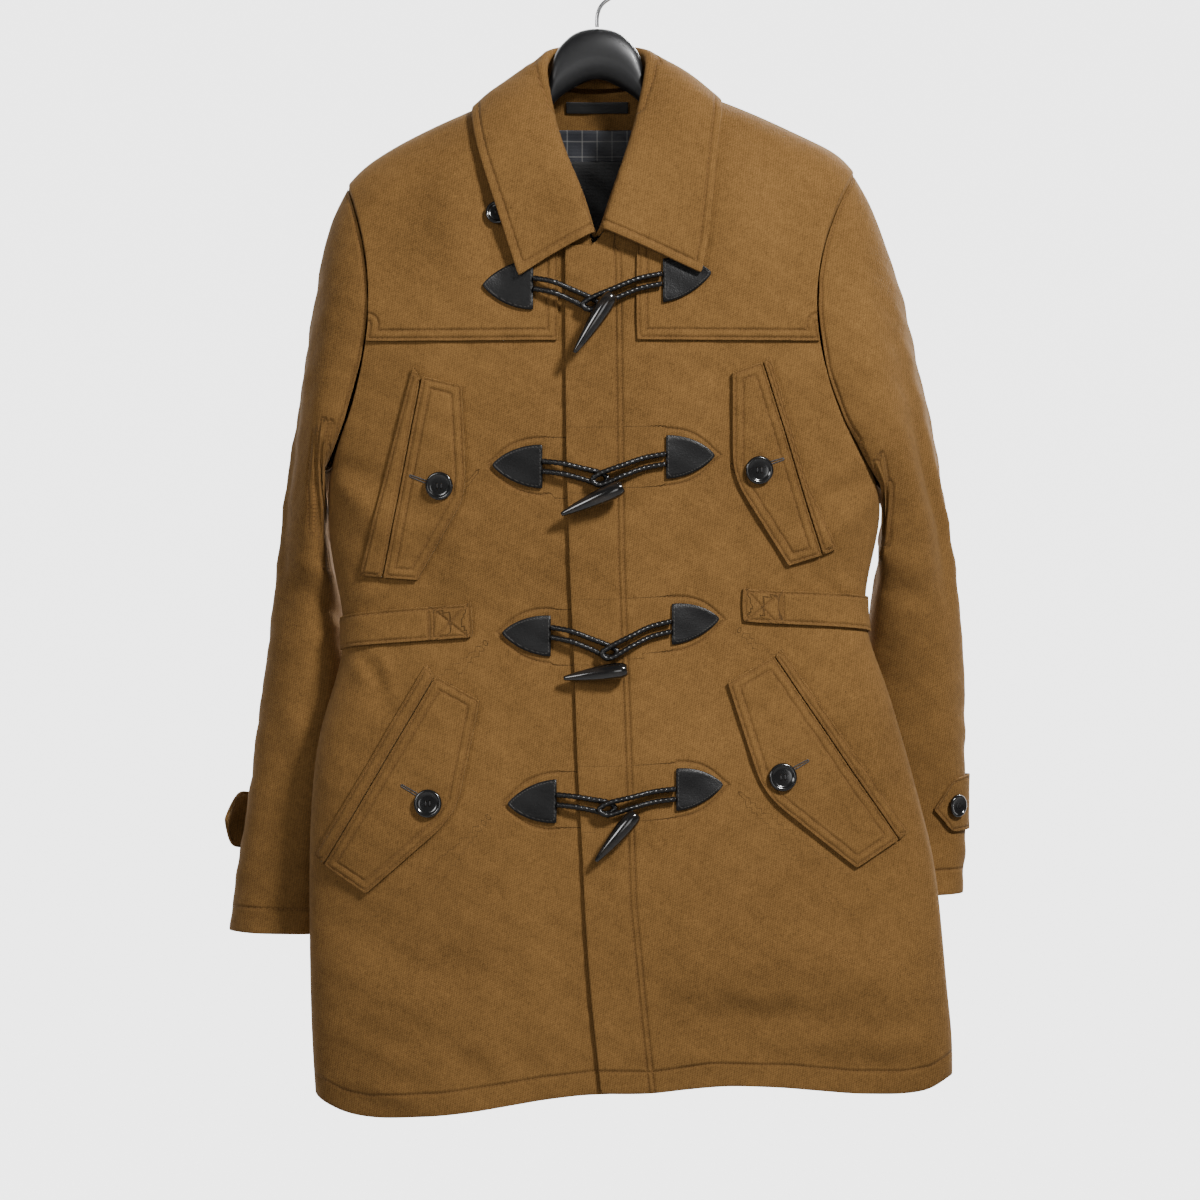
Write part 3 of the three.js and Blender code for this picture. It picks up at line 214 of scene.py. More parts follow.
def braid(name, route):
    """A tube whose skin rises and falls as four crossing thongs."""
    steps = 200
    sides = 20
    path, length = smooth_path(route, steps)
    ahead = np.gradient(path, axis=0)
    ahead /= np.linalg.norm(ahead, axis=1)[:, None]
    side = np.cross(ahead, (0, 1, 0))
    side /= np.linalg.norm(side, axis=1)[:, None]
    lift = np.cross(side, ahead)
    turn = np.linspace(0, 2 * math.pi, sides, endpoint=False)
    along = np.linspace(0, length, steps)[:, None]
    pitch = BRAID_PITCH
    one = np.abs(np.sin(turn * 1 + along * 2 * math.pi / pitch))
    two = np.abs(np.sin(turn * 1 - along * 2 * math.pi / pitch))
    weave = np.cos(2 * turn) * np.cos(along * 4 * math.pi / pitch)
    thong = np.where(weave > 0, one, two) ** 0.6
    radius = CORD_RADIUS * (0.76 + 0.27 * thong)
    skin = (path[:, None, :] + radius[..., None] * (
        side[:, None, :] * np.cos(turn)[None, :, None] + lift[:, None, :] * np.sin(turn)[None, :, None]))
    points = skin.reshape(-1, 3).tolist() + [path[0].tolist(), path[-1].tolist()]
    faces = []
    for i in range(steps - 1):
        for j in range(sides):
            k = (j + 1) % sides
            faces.append((i * sides + j, i * sides + k, (i + 1) * sides + k, (i + 1) * sides + j))
    last = (steps - 1) * sides
    for j in range(sides):
        k = (j + 1) % sides
        faces.append((len(points) - 2, k, j))
        faces.append((len(points) - 1, last + j, last + k))
    mesh = bpy.data.meshes.new(name)
    mesh.from_pydata(points, [], faces)
    mesh.shade_smooth()
    cord = bpy.data.objects.new(name, mesh)
    bpy.context.collection.objects.link(cord)
    bpy.ops.object.select_all(action="DESELECT")
    bpy.context.view_layer.objects.active = cord
    bpy.ops.object.mode_set(mode="EDIT")
    bpy.ops.mesh.select_all(action="SELECT")
    bpy.ops.mesh.normals_make_consistent(inside=False)
    bpy.ops.object.mode_set(mode="OBJECT")
    cord.data.materials.append(cord_leather)
    return cord, path, length


for number, (right_x, right_ends, right_turn, left_x, left_ends, left_turn) in enumerate(CORDS, 1):
    low = CORD_LIFT + (YOKE_STEP if number == 1 else 0)
    for side, route in (
        ("right", cord_route(right_x, right_ends, right_turn, low, CORD_LIFT)),
        ("left", cord_route(left_x, left_ends, left_turn, low, LOOP_LIFT)),
    ):
        cord, path, length = braid(f"braid_{side}_{number}", route)
        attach(cord, "root")
        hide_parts(f"cord_{side}_{number}")


# Fronts: two panels of thick camel coating, fulled so the twill shows only as a fine grain. The left
# one laps over the right with a stitched placket, and both have a deep stitched hem.
def cut_cloth(node, level=3, sharp=62, crease=0.8):
    """Smooth cloth on one solid of the coat. Returns the piece and the corners of its cut edges."""
    cloth = bpy.data.objects.new("cloth_" + node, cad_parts[node].data.copy())
    cloth.data.materials.clear()
    bpy.context.collection.objects.link(cloth)
    bpy.ops.object.select_all(action="DESELECT")
    cloth.select_set(True)
    bpy.context.view_layer.objects.active = cloth
    bpy.ops.object.mode_set(mode="EDIT")
    bpy.ops.mesh.select_mode(type="EDGE")
    bpy.ops.mesh.select_all(action="SELECT")
    bpy.ops.mesh.remove_doubles(threshold=0.00002)
    bpy.ops.mesh.tris_convert_to_quads(face_threshold=math.radians(50), shape_threshold=math.radians(70))
    bpy.ops.mesh.select_all(action="DESELECT")
    bpy.ops.mesh.edges_select_sharp(sharpness=math.radians(sharp))
    bpy.ops.transform.edge_crease(value=crease)
    bpy.ops.object.mode_set(mode="OBJECT")
    cut = [[list(cloth.data.vertices[v].co) for v in e.vertices] for e in cloth.data.edges if e.select]
    smooth = cloth.modifiers.new("smooth", "SUBSURF")
    smooth.levels = level
    smooth.render_levels = level
    bpy.ops.object.modifier_apply(modifier="smooth")
    bpy.ops.mesh.customdata_custom_splitnormals_clear()
    cloth.data.shade_smooth()
    return cloth, np.array(cut)


def points_of(piece):
    flat = np.empty(len(piece.data.vertices) * 3)
    piece.data.vertices.foreach_get("co", flat)
    return flat.reshape(-1, 3)


def put_points(piece, points):
    piece.data.vertices.foreach_set("co", points.ravel())
    piece.data.update()


def reach_to(points, ends):
    """Distance from each point to the nearest of some straight segments, and how far along them it is."""
    best = np.full(len(points), 1e9)
    run = np.zeros(len(points))
    start = 0.0
    for a, b in ends:
        way = b - a
        size = np.linalg.norm(way)
        t = np.clip(((points - a) @ way) / max(size * size, 1e-12), 0, 1)
        gap = np.linalg.norm(points - a - t[:, None] * way, axis=1)
        near = gap < best
        best[near] = gap[near]
        run[near] = start + t[near] * size
        start += size
    return best, run


def write_field(piece, name, values):
    layer = piece.data.attributes.new(name, "FLOAT", "POINT")
    layer.data.foreach_set("value", np.asarray(values, dtype=np.float32))


def mark_lines(piece, name, lines):
    """Writes the signed distance in the XZ plane to the nearest of some stitched lines, corners in mm."""
    points = points_of(piece)[:, [0, 2]]
    nearest = np.full(len(points), 1e9)
    signed = np.zeros(len(points))
    run = np.zeros(len(points))
    for line in lines:
        corners = np.array(line) / 1000
        start = 0.0
        for a, b in zip(corners, corners[1:]):
            way = b - a
            size = np.linalg.norm(way)
            t = np.clip(((points - a) @ way) / (size * size), 0, 1)
            gap = np.linalg.norm(points - a - t[:, None] * way, axis=1)
            side = np.sign(way[0] * (points[:, 1] - a[1]) - way[1] * (points[:, 0] - a[0]))
            closer = gap < nearest
            nearest[closer] = gap[closer]
            signed[closer] = (gap * side)[closer]
            run[closer] = start + t[closer] * size
            start += size
    write_field(piece, name, signed)
    write_field(piece, name + "_run", run)


def lay_weave(piece):
    """Weave map in metres: each face is laid flat along the axis that it looks along."""
    mesh = piece.data
    loops = np.empty(len(mesh.loops), dtype=int)
    mesh.loops.foreach_get("vertex_index", loops)
    sizes = np.empty(len(mesh.polygons), dtype=int)
    mesh.polygons.foreach_get("loop_total", sizes)
    normals = np.empty(len(mesh.polygons) * 3)
    mesh.polygons.foreach_get("normal", normals)
    look = np.repeat(np.argmax(np.abs(normals.reshape(-1, 3)), axis=1), sizes)
    place = points_of(piece)[loops]
    flat = np.where((look == 0)[:, None], place[:, [1, 2]],
                    np.where((look == 1)[:, None], place[:, [0, 2]], place[:, [0, 1]]))
    weave = mesh.uv_layers.get("weave") or mesh.uv_layers.new(name="weave")
    weave.data.foreach_set("uv", flat.ravel())


# Creases pressed in by wear and by how the coat hangs: x0, z0, x1, z1, width, rise, all in mm
FRONT_CREASES = [
    (-228, -962, -150, -978, 8, 3.1), (-215, -935, -120, -972, 9, -1.2), (-200, -900, -140, -930, 10, 2.4),
    (-190, -955, -90, -925, 8, 1.4), (-100, -930, -60, -975, 12, 2.7), (60, -880, 190, -893, 9, 1.4),
    (90, -903, 260, -899, 8, -1.0), (150, -925, 280, -930, 10, 2.7), (40, -935, 130, -945, 9, 2.2),
    (120, -838, 230, -846, 10, 1.6), (200, -948, 286, -952, 8, -2.0), (-214, -604, -190, -628, 6, 2.7),
    (-200, -602, -180, -640, 7, -2.2), (-185, -600, -172, -634, 6, 2.2), (-212, -560, -186, -545, 6, 2.5),
    (-196, -566, -168, -548, 6, -2.0), (228, -585, 205, -606, 6, 2.7), (212, -584, 190, -620, 7, -2.4),
    (190, -582, 172, -612, 6, 2.2), (226, -552, 200, -536, 6, 2.4), (205, -552, 180, -532, 6, -2.0),
    (-228, -452, -188, -486, 10, 3.4), (-222, -440, -176, -452, 9, -2.7), (242, -466, 196, -500, 10, 3.4),
    (238, -450, 188, -466, 9, -2.7), (-140, -190, -110, -300, 18, 2.7), (-90, -180, -76, -330, 14, -1.7),
    (118, -190, 108, -300, 16, 2.4), (160, -210, 152, -318, 14, -2.0), (-112, -500, -116, -545, 14, 1.4),
    (95, -500, 92, -560, 16, 1.7), (-236, -845, -105, -930, 22, 4.2), (-215, -900, -70, -960, 18, -3.4),
    (66, -872, 165, -856, 17, 3.8), (165, -856, 272, -884, 17, 3.8), (90, -905, 262, -918, 15, -3.2),
    (-180, -860, -60, -880, 20, -2.6), (-226, -470, -150, -500, 16, 3.0), (238, -484, 176, -512, 16, 3.0),
    (-215, -640, -150, -690, 20, 2.6), (226, -625, 170, -670, 20, 2.6),
    (-48, -860, -52, -960, 18, 2.0), (40, -780, 50, -900, 22, -1.6),
]
BACK_CREASES = [
    (-220, -450, -150, -520, 12, 3.6), (232, -465, 160, -530, 12, 3.6), (-205, -440, -120, -470, 12, -2.8),
    (210, -450, 130, -480, 12, -2.8), (-80, -150, -130, -260, 20, 2.2), (85, -150, 130, -260, 20, 2.2),
    (-160, -600, -60, -618, 9, 2.1), (160, -590, 70, -606, 9, 2.1), (-30, -640, -36, -900, 18, 3.1),
    (60, -620, 70, -880, 18, -2.8), (-200, -900, -90, -940, 14, 2.8), (210, -880, 110, -930, 14, 2.8),
    (-120, -330, -40, -352, 16, 2.0), (120, -332, 40, -350, 16, 2.0), (-190, -700, -150, -860, 16, -2.5),
]


def crease_rise(points, creases):
    x = points[:, 0] * 1000
    z = points[:, 2] * 1000
    rise = np.zeros(len(points))
    for x0, z0, x1, z1, width, height in creases:
        dx = x1 - x0
        dz = z1 - z0
        t = np.clip(((x - x0) * dx + (z - z0) * dz) / (dx * dx + dz * dz), 0, 1)
        gap = np.hypot(x - x0 - t * dx, z - z0 - t * dz)
        taper = 0.35 + 0.65 * np.sin(math.pi * np.clip(t, 0.02, 0.98))
        rise += height * taper * np.exp(-((gap / width) ** 2))
    return rise / 1000


def soft_unevenness(points, size=0.0005):
    """Slow dents of the fulled cloth, the same for every piece that lies at one place."""
    dice = np.random.default_rng(11)
    total = np.zeros(len(points))
    for wave in (0.16, 0.11, 0.08, 0.055, 0.04, 0.032):
        way = dice.normal(size=3)
        way *= 2 * math.pi / wave / np.linalg.norm(way)
        cross = dice.normal(size=3)
        cross *= 2 * math.pi / (wave * 1.7) / np.linalg.norm(cross)
        total += np.sin(points @ way + dice.uniform(0, 6)) * np.cos(points @ cross + dice.uniform(0, 6))
    return total * size


def wear_body(piece):
    """Presses the creases and dents into a piece of the body, front towards -Y and back towards +Y."""
    points = points_of(piece)
    facing = np.sign(points[:, 1])
    fade = np.clip((np.abs(points[:, 1]) - 0.004) / 0.026, 0, 1)
    front = crease_rise(points, FRONT_CREASES)
    back = crease_rise(points, BACK_CREASES)
    rise = np.where(facing < 0, front, back) + soft_unevenness(points)
    points[:, 1] += facing * fade * rise
    put_points(piece, points)


def wool(name, rows, depth=0.0011, tint=1.0):
    """Camel coating, with painted shade along the stitched grooves. Rows are (field, distance) pairs, one
    for each row of topstitching.
    """
    made, tree, shader = plain_nodes(name, (0.27, 0.127, 0.04), 0.94)
    shader.inputs["Sheen Weight"].default_value = 0.05
    shader.inputs["Sheen Roughness"].default_value = 0.45
    shader.inputs["Sheen Tint"].default_value = (0.90, 0.66, 0.38, 1)
    shader.inputs["Specular IOR Level"].default_value = 0.12
    place = add(tree, "ShaderNodeTexCoord").outputs["Object"]
    weave = add(tree, "ShaderNodeUVMap", uv_map="weave").outputs["UV"]
    fibre = add(tree, "ShaderNodeTexNoise", [
        ("Vector", place), ("Scale", 620.0), ("Detail", 4.0), ("Roughness", 0.68), ("Distortion", 0.6)])
    nap = add(tree, "ShaderNodeTexNoise", [("Vector", place), ("Scale", 150.0), ("Detail", 3.0)])
    cloud = add(tree, "ShaderNodeTexNoise", [("Vector", place), ("Scale", 9.0), ("Detail", 3.0)])

    def calc(kind, a, b=0.0, c=0.0, clamp=False):
        links = [(0, a), (1, b)]
        if kind in ("MULTIPLY_ADD", "SMOOTH_MIN"):
            links.append((2, c))
        return add(tree, "ShaderNodeMath", links, operation=kind, use_clamp=clamp).outputs[0]

    def wale(direction, pitch):
        turn = add(tree, "ShaderNodeVectorMath", [(0, weave), (1, direction)], operation="DOT_PRODUCT")
        return calc("SINE", calc("MULTIPLY", turn.outputs["Value"], 2 * math.pi / pitch))

    twill = calc("MULTIPLY", wale((0.80, 0.60, 0), 0.0021), wale((-0.28, 0.96, 0), 0.0027))
    groove = None
    thread = None
    for field, distance in rows:
        where = add(tree, "ShaderNodeAttribute", attribute_name=field).outputs["Fac"]
        along = add(tree, "ShaderNodeAttribute", attribute_name=field + "_run").outputs["Fac"]
        gap = calc("ABSOLUTE", calc("SUBTRACT", where, distance))
        dip = calc("SUBTRACT", 1.0, calc("DIVIDE", gap, 0.0026), clamp=True)
        dip = calc("POWER", dip, 1.4)
        dash = calc("GREATER_THAN", calc("SINE", calc("MULTIPLY", along, 2 * math.pi / 0.0034)), -0.35)
        sewn = calc("MULTIPLY", calc("LESS_THAN", gap, 0.00042), dash)
        groove = dip if groove is None else calc("MAXIMUM", groove, dip)
        thread = sewn if thread is None else calc("MAXIMUM", thread, sewn)
    shade = calc("MULTIPLY_ADD", fibre.outputs["Fac"], 0.80, 0.10)
    shade = calc("MULTIPLY_ADD", nap.outputs["Fac"], 0.24, calc("SUBTRACT", shade, 0.12))
    shade = calc("MULTIPLY_ADD", twill, 0.14, shade)
    shade = calc("MULTIPLY_ADD", cloud.outputs["Fac"], 0.30, calc("SUBTRACT", shade, 0.15))
    ramp = add(tree, "ShaderNodeValToRGB", [("Fac", shade)])
    ramp.color_ramp.elements[0].position = 0.22
    ramp.color_ramp.elements[0].color = (0.070 * tint, 0.035 * tint, 0.0095 * tint, 1)
    ramp.color_ramp.elements[1].position = 0.80
    ramp.color_ramp.elements[1].color = (0.205 * tint, 0.107 * tint, 0.033 * tint, 1)
    colour = ramp.outputs["Color"]
    relief = calc("MULTIPLY", fibre.outputs["Fac"], 0.00020)
    relief = calc("MULTIPLY_ADD", twill, 0.000045, relief)
    relief = calc("MULTIPLY_ADD", nap.outputs["Fac"], 0.00036, relief)
    if groove is not None:
        # Painted shade: the colour is darkened along each stitched groove, where the dip lies in shade.
        painted_groove_shade = add(tree, "ShaderNodeMix", [(0, calc("MULTIPLY", groove, 0.34)), (6, colour),
                                             (7, (0.060, 0.028, 0.008, 1))], data_type="RGBA")
        sewn = add(tree, "ShaderNodeMix", [(0, calc("MULTIPLY", thread, 0.55)), (6, painted_groove_shade.outputs[2]),
                                           (7, (0.20, 0.10, 0.032, 1))], data_type="RGBA")
        colour = sewn.outputs[2]
        relief = calc("MULTIPLY_ADD", groove, -depth, relief)
        relief = calc("MULTIPLY_ADD", thread, 0.0004, relief)
    tree.links.new(colour, shader.inputs["Base Color"])
    raise_skin(tree, shader, relief, 1.0, 1.0)
    return made


def finish_cloth(cloth, node, material):
    lay_weave(cloth)
    cloth.data.materials.append(material)
    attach(cloth, "root")
    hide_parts(node)


HEM_LINE = [
    (-262, -952), (-238, -962), (-214, -972), (-193, -975), (-133, -971), (-95, -965), (-48, -957),
    (2, -951), (45, -952), (96, -945), (164, -947), (215, -953), (258, -955), (283, -952), (312, -938),
]
PLACKET_EDGE = [
    (-28, -250), (-25.5, -453), (-21, -572), (-16, -708), (-11, -810), (-6, -870), (0, -937), (6, -990),
]
PLACKET_LINE = [(15, -262), (18, -521), (23, -657), (28, -810), (36, -895), (46, -990)]
PATCHES = {
    # tip x and z, edge x, edge heights, for the three patches below the yoke
    "right": [
        ((-88, -441), -46, (-424, -461)), ((-80, -583), -39, (-568, -603)), ((-75, -727), -34, (-706, -743)),
    ],
    "left": [
        ((99, -433), 58, (-416, -453)), ((103, -571), 63, (-558, -593)), ((106, -711), 66.5, (-697, -733)),
    ],
}


def patch_outline(tip, edge, heights, margin=5.5):
    """The row of stitches on the cloth, one margin outside a leather patch."""
    way = math.copysign(1, tip[0] - edge)
    middle = sum(heights) / 2
    half = (heights[0] - heights[1]) / 2
    outline = []
    for sign in (1, -1):
        side = []
        for step in range(9):
            share = step / 8
            width = half * (1 - share ** 1.9) ** 0.85 + margin * (1 - 0.5 * share ** 3)
            x = edge + (tip[0] + way * margin - edge) * share
            side.append((x, middle + (tip[1] - middle) * share + sign * width * (1 - share ** 6)))
        outline += side if sign == 1 else side[::-1]
    return outline


front_wool = wool("front_wool", [
    ("hem", 0.0), ("patch", 0.0), ("placket", 0.0), ("placket", -0.0045), ("lap", 0.0022), ("lap", 0.0095)])
for side in ("left", "right"):
    front, _ = cut_cloth("front_" + side)
    mark_lines(front, "hem", [HEM_LINE])
    mark_lines(front, "patch", [patch_outline(*patch) for patch in PATCHES[side]])
    if side == "left":
        mark_lines(front, "placket", [PLACKET_LINE[::-1]])
        mark_lines(front, "lap", [PLACKET_EDGE[::-1]])
    wear_body(front)
    used = front_wool if side == "left" else wool("under_front_wool", [("hem", 0.0), ("patch", 0.0)])
    finish_cloth(front, "front_" + side, used)


# Back: one wide panel of the same coating, hung between the side seams with the hem stitched up on
# the inside. It shows soft folds below the shoulders and creases where the waist tabs draw it in.
back, _ = cut_cloth("back")
mark_lines(back, "hem", [HEM_LINE])
wear_body(back)
finish_cloth(back, "back", wool("back_wool", [("hem", 0.0)]))


# Sleeves: set into the armholes and hanging free, with a stitched cuff. The elbows and the inside of
# the arms are creased from wear, and long soft folds run down from the shoulder.
def axis_of(points, slabs=24):
    """Centre line of a tube that hangs down: the middle of its outline at each height."""
    z = np.linspace(points[:, 2].min(), points[:, 2].max(), slabs)
    half = (z[1] - z[0]) * 1.2
    mids = []
    for level in z:
        band = points[np.abs(points[:, 2] - level) < half]
        mids.append([(band[:, 0].min() + band[:, 0].max()) / 2, (band[:, 1].min() + band[:, 1].max()) / 2])
    return z, np.array(mids)


def wear_sleeve(piece, creases):
    """Creases run between two (turn, height) places. Turn 0 faces the front and 90 the picture's right."""
    points = points_of(piece)
    z, mids = axis_of(points)
    out = points[:, :2] - np.stack([np.interp(points[:, 2], z, mids[:, k]) for k in (0, 1)], axis=1)
    radius = np.linalg.norm(out, axis=1)
    turn = np.degrees(np.arctan2(out[:, 0], -out[:, 1]))
    height = points[:, 2] * 1000
    rise = np.zeros(len(points))
    for turn0, z0, turn1, z1, width, size in creases:
        around = (turn - turn0 + 180) % 360 - 180
        arc = np.radians(around) * 52
        arc1 = math.radians(turn1 - turn0) * 52
        fall = z1 - z0
        t = np.clip((arc * arc1 + (height - z0) * fall) / (arc1 * arc1 + fall * fall), 0, 1)
        gap = np.hypot(arc - t * arc1, height - z0 - t * fall)
        rise += size * (0.3 + 0.7 * np.sin(math.pi * np.clip(t, 0.02, 0.98))) * np.exp(-((gap / width) ** 2))
    calm = np.clip((-0.22 - points[:, 2]) / 0.08, 0, 1)
    rise = rise / 1000 * calm + soft_unevenness(points, 0.0006) * calm
    points[:, :2] += out / np.maximum(radius, 0.004)[:, None] * rise[:, None]
    put_points(piece, points)


SLEEVE_CREASES = {
    "right": [
        (-20, -520, 70, -545, 9, 3.7), (-10, -545, 60, -575, 8, -3.1), (-60, -600, 30, -585, 9, 2.8),
        (20, -470, 90, -500, 10, 3.4), (120, -500, 200, -540, 10, 3.4), (150, -560, 220, -585, 10, -3.1),
        (-40, -330, -20, -480, 16, 3.1), (15, -320, 30, -440, 14, -2.8), (-80, -380, -60, -560, 18, 2.8),
        (-30, -640, 20, -700, 14, 2.5), (40, -650, 60, -720, 12, -2.3), (170, -330, 190, -480, 18, 3.4),
        (90, -370, 90, -480, 26, 4.2),
    ],
    "left": [
        (-80, -500, 10, -530, 10, 3.7), (-60, -540, 20, -555, 9, -3.1), (-10, -330, 10, -520, 18, 4.3),
        (30, -340, 45, -560, 16, -3.4), (-45, -380, -20, -600, 18, 3.4), (60, -360, 75, -600, 18, 3.1),
        (0, -580, 20, -720, 16, -2.8), (-30, -640, -5, -760, 14, 2.5), (140, -500, 220, -540, 10, 3.4),
        (160, -560, 230, -590, 10, -3.1), (100, -360, 110, -560, 18, -3.1), (-100, -450, -60, -480, 9, 2.8),
        (-90, -370, -90, -490, 26, 4.2),
    ],
}
sleeve_wool = wool("sleeve_wool", [("cuff", 0.022), ("cap", 0.003)])
for side, flat in (("left", (0.29, 0.62)), ("right", (0.27, 0.64))):
    sleeve, cut = cut_cloth("sleeve_" + side)
    points = points_of(sleeve)
    ends = cut[cut[:, :, 2].max(axis=1) < -0.76]
    gap, _ = reach_to(points, ends)
    turn = np.arctan2(points[:, 0] - points[:, 0].mean(), points[:, 1] - points[:, 1].mean())
    write_field(sleeve, "cuff", gap)
    write_field(sleeve, "cuff_run", turn * 0.05)
    ends = cut[cut[:, :, 2].min(axis=1) > -0.70]
    gap, _ = reach_to(points, ends)
    write_field(sleeve, "cap", gap)
    write_field(sleeve, "cap_run", points[:, 2])
    wear_sleeve(sleeve, SLEEVE_CREASES[side])
    finish_cloth(sleeve, "sleeve_" + side, sleeve_wool)


# Shoulder yokes: a second layer of coating over each shoulder, sewn down with a double row along its
# straight foot and front edge.
def mark_edges(piece, cut, keep=None):
    """Writes how far each point lies from the cut edges of its piece, and the run along them."""
    points = points_of(piece)
    ends = cut if keep is None else cut[keep(cut)]
    gap, _ = reach_to(points, ends)
    write_field(piece, "edge", gap)
    write_field(piece, "edge_run", (points[:, 0] * 0.74 + points[:, 2] * 0.67))


def low_or_inner(cut):
    middle = cut.mean(axis=1)
    return (middle[:, 2] < -0.328) | ((np.abs(middle[:, 0]) < 0.05) & (middle[:, 2] < -0.16))


yoke_wool = wool("yoke_wool", [("edge", 0.0022), ("edge", 0.0088)])
for side in ("left", "right"):
    yoke, cut = cut_cloth("yoke_" + side)
    mark_edges(yoke, cut, low_or_inner)
    wear_body(yoke)
    finish_cloth(yoke, "yoke_" + side, yoke_wool)


# Collar: a wide two-layer turn-down collar, lying open on the yokes, with one row of stitching a
# presser-foot's width inside its edge.
collar, cut = cut_cloth("collar")
mark_edges(collar, cut, lambda ends: ends[:, :, 2].mean(axis=1) < -0.06)
points = points_of(collar)
points[:, 1] += np.sign(points[:, 1]) * soft_unevenness(points, 0.00035)
put_points(collar, points)
finish_cloth(collar, "collar", wool("collar_wool", [("edge", 0.0068)]))


# Pockets: slanted welts with a wide pointed flap folded over each opening, two at the chest and two at
# the hip, the flaps edge-stitched twice and the welts once, and sewn on at their sloping side.
def buttonhole(name, start, end, ground):
    """A worked hole: a ridge of dark thread round a slit, laid on the piece that it is cut in."""
    tree = BVHTree.FromPolygons([v.co.copy() for v in ground.data.vertices],
                                [list(p.vertices) for p in ground.data.polygons])
    half = 0.0008
    start = np.array(start) / 1000
    end = np.array(end) / 1000
    way = (end - start) / np.linalg.norm(end - start)
    across = np.array([-way[1], way[0]])
    outline = []
    for centre, turn0 in ((end, 0), (start, math.pi)):
        for step in range(9):
            turn = turn0 + math.pi / 2 - math.pi * step / 8
            size = half * (1.35 if centre is start else 1.0)
            outline.append(centre + size * (way * math.cos(turn) + across * math.sin(turn)))
    outline.append(outline[0])
    outline = np.array(outline)
    run = np.concatenate([[0], np.cumsum(np.linalg.norm(np.diff(outline, axis=0), axis=1))])
    steps = 160
    even = np.linspace(0, run[-1], steps, endpoint=False)
    flat = np.stack([np.interp(even, run, outline[:, k]) for k in (0, 1)], axis=1)
    depth = [tree.ray_cast(Vector((x, -1, z)), Vector((0, 1, 0)))[0].y for x, z in flat]
    path = np.column_stack([flat[:, 0], np.array(depth) + 0.0001, flat[:, 1]])
    ahead = np.roll(path, -1, axis=0) - np.roll(path, 1, axis=0)
    ahead /= np.linalg.norm(ahead, axis=1)[:, None]
    side = np.cross(ahead, (0, 1, 0))
    side /= np.linalg.norm(side, axis=1)[:, None]
    lift = np.cross(side, ahead)
    sides = 8
    turn = np.linspace(0, 2 * math.pi, sides, endpoint=False)
    radius = 0.00062 * (1 + 0.22 * np.sin(even * 2 * math.pi / 0.0011))[:, None]
    skin = path[:, None, :] + radius[..., None] * (
        side[:, None, :] * np.cos(turn)[None, :, None] + lift[:, None, :] * np.sin(turn)[None, :, None])
    faces = [(i * sides + j, i * sides + (j + 1) % sides, ((i + 1) % steps) * sides + (j + 1) % sides,
              ((i + 1) % steps) * sides + j) for i in range(steps) for j in range(sides)]
    mesh = bpy.data.meshes.new(name)
    mesh.from_pydata(skin.reshape(-1, 3).tolist(), [], faces)
    mesh.shade_smooth()
    hole = bpy.data.objects.new(name, mesh)
    bpy.context.collection.objects.link(hole)
    hole.data.materials.append(hole_thread)
    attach(hole, "root")
    return hole


def dull_thread(name, colour):
    made, tree, shader = plain_nodes(name, colour, 0.6)
    place = add(tree, "ShaderNodeTexCoord").outputs["Object"]
    twist = add(tree, "ShaderNodeTexNoise", [("Vector", place), ("Scale", 2200.0)])
    raise_skin(tree, shader, twist.outputs["Fac"], 0.5, 0.0003)
    shade = add(tree, "ShaderNodeMix", [(0, twist.outputs["Fac"]), (6, (*[c * 0.6 for c in colour], 1)),
                                        (7, (*[c * 1.5 for c in colour], 1))], data_type="RGBA")
    tree.links.new(shade.outputs[2], shader.inputs["Base Color"])
    return made


hole_thread = dull_thread("buttonhole_thread", (0.030, 0.027, 0.026))
pocket_wool = wool("pocket_wool", [("edge", 0.0022), ("edge", 0.0088)], depth=0.0009)
welt_wool = wool("welt_wool", [("edge", 0.0022)], depth=0.0009)
for place, flap_cut, flap_area, welt_cut, slit in (
    ("chest_left", (0.052, 0.178), 0.0080, (0.0132, 0.168), ((146, -439.5), (157, -436))),
    ("chest_right", (0.052, 0.178), 0.0083, (0.0180, 0.178), ((-145, -455), (-158, -450))),
    ("hip_left", (0.072, 0.192), 0.0120, (0.0130, 0.193), ((167, -697), (178, -691))),
    ("hip_right", (0.072, 0.192), 0.0121, (0.0145, 0.193), ((-153, -719), (-165, -712))),
):
    side = place.split("_")[1]
    for kind, cut_size, area, material in (
        ("flap_", flap_cut, flap_area, pocket_wool), ("welt_", welt_cut, None, welt_wool),
    ):
        piece, cut = cut_cloth(kind + place, level=3 if kind == "flap_" else 2)
        mark_edges(piece, cut)
        wear_body(piece)
        holes = [buttonhole("buttonhole_" + place, *slit, piece)] if kind == "flap_" else []
        finish_cloth(piece, kind + place, material)


# Waist tabs: straps of doubled coating that run from the front round the side seam and draw the waist
# in. The front end is sewn down with a crossed box, and the edges are stitched all round.
WAIST_SEAMS = {
    "right": [(-143.6, -553), (-143.6, -592), (-108.5, -587), (-108.5, -557), (-139, -563), (-139, -589),
              (-108.5, -557), (-108.5, -587), (-139, -563)],
    "left": [(158, -540), (158, -580), (125.5, -574), (125.5, -545), (154, -550), (154, -577),
             (125.5, -545), (125.5, -574), (154, -550)],
}
waist_wool = wool("waist_tab_wool", [("edge", 0.0024), ("box", 0.0)], depth=0.0010)
for side in ("left", "right"):
    tab, cut = cut_cloth("waist_tab_" + side)
    mark_edges(tab, cut)
    mark_lines(tab, "box", [WAIST_SEAMS[side]])
    wear_body(tab)
    finish_cloth(tab, "waist_tab_" + side, waist_wool)


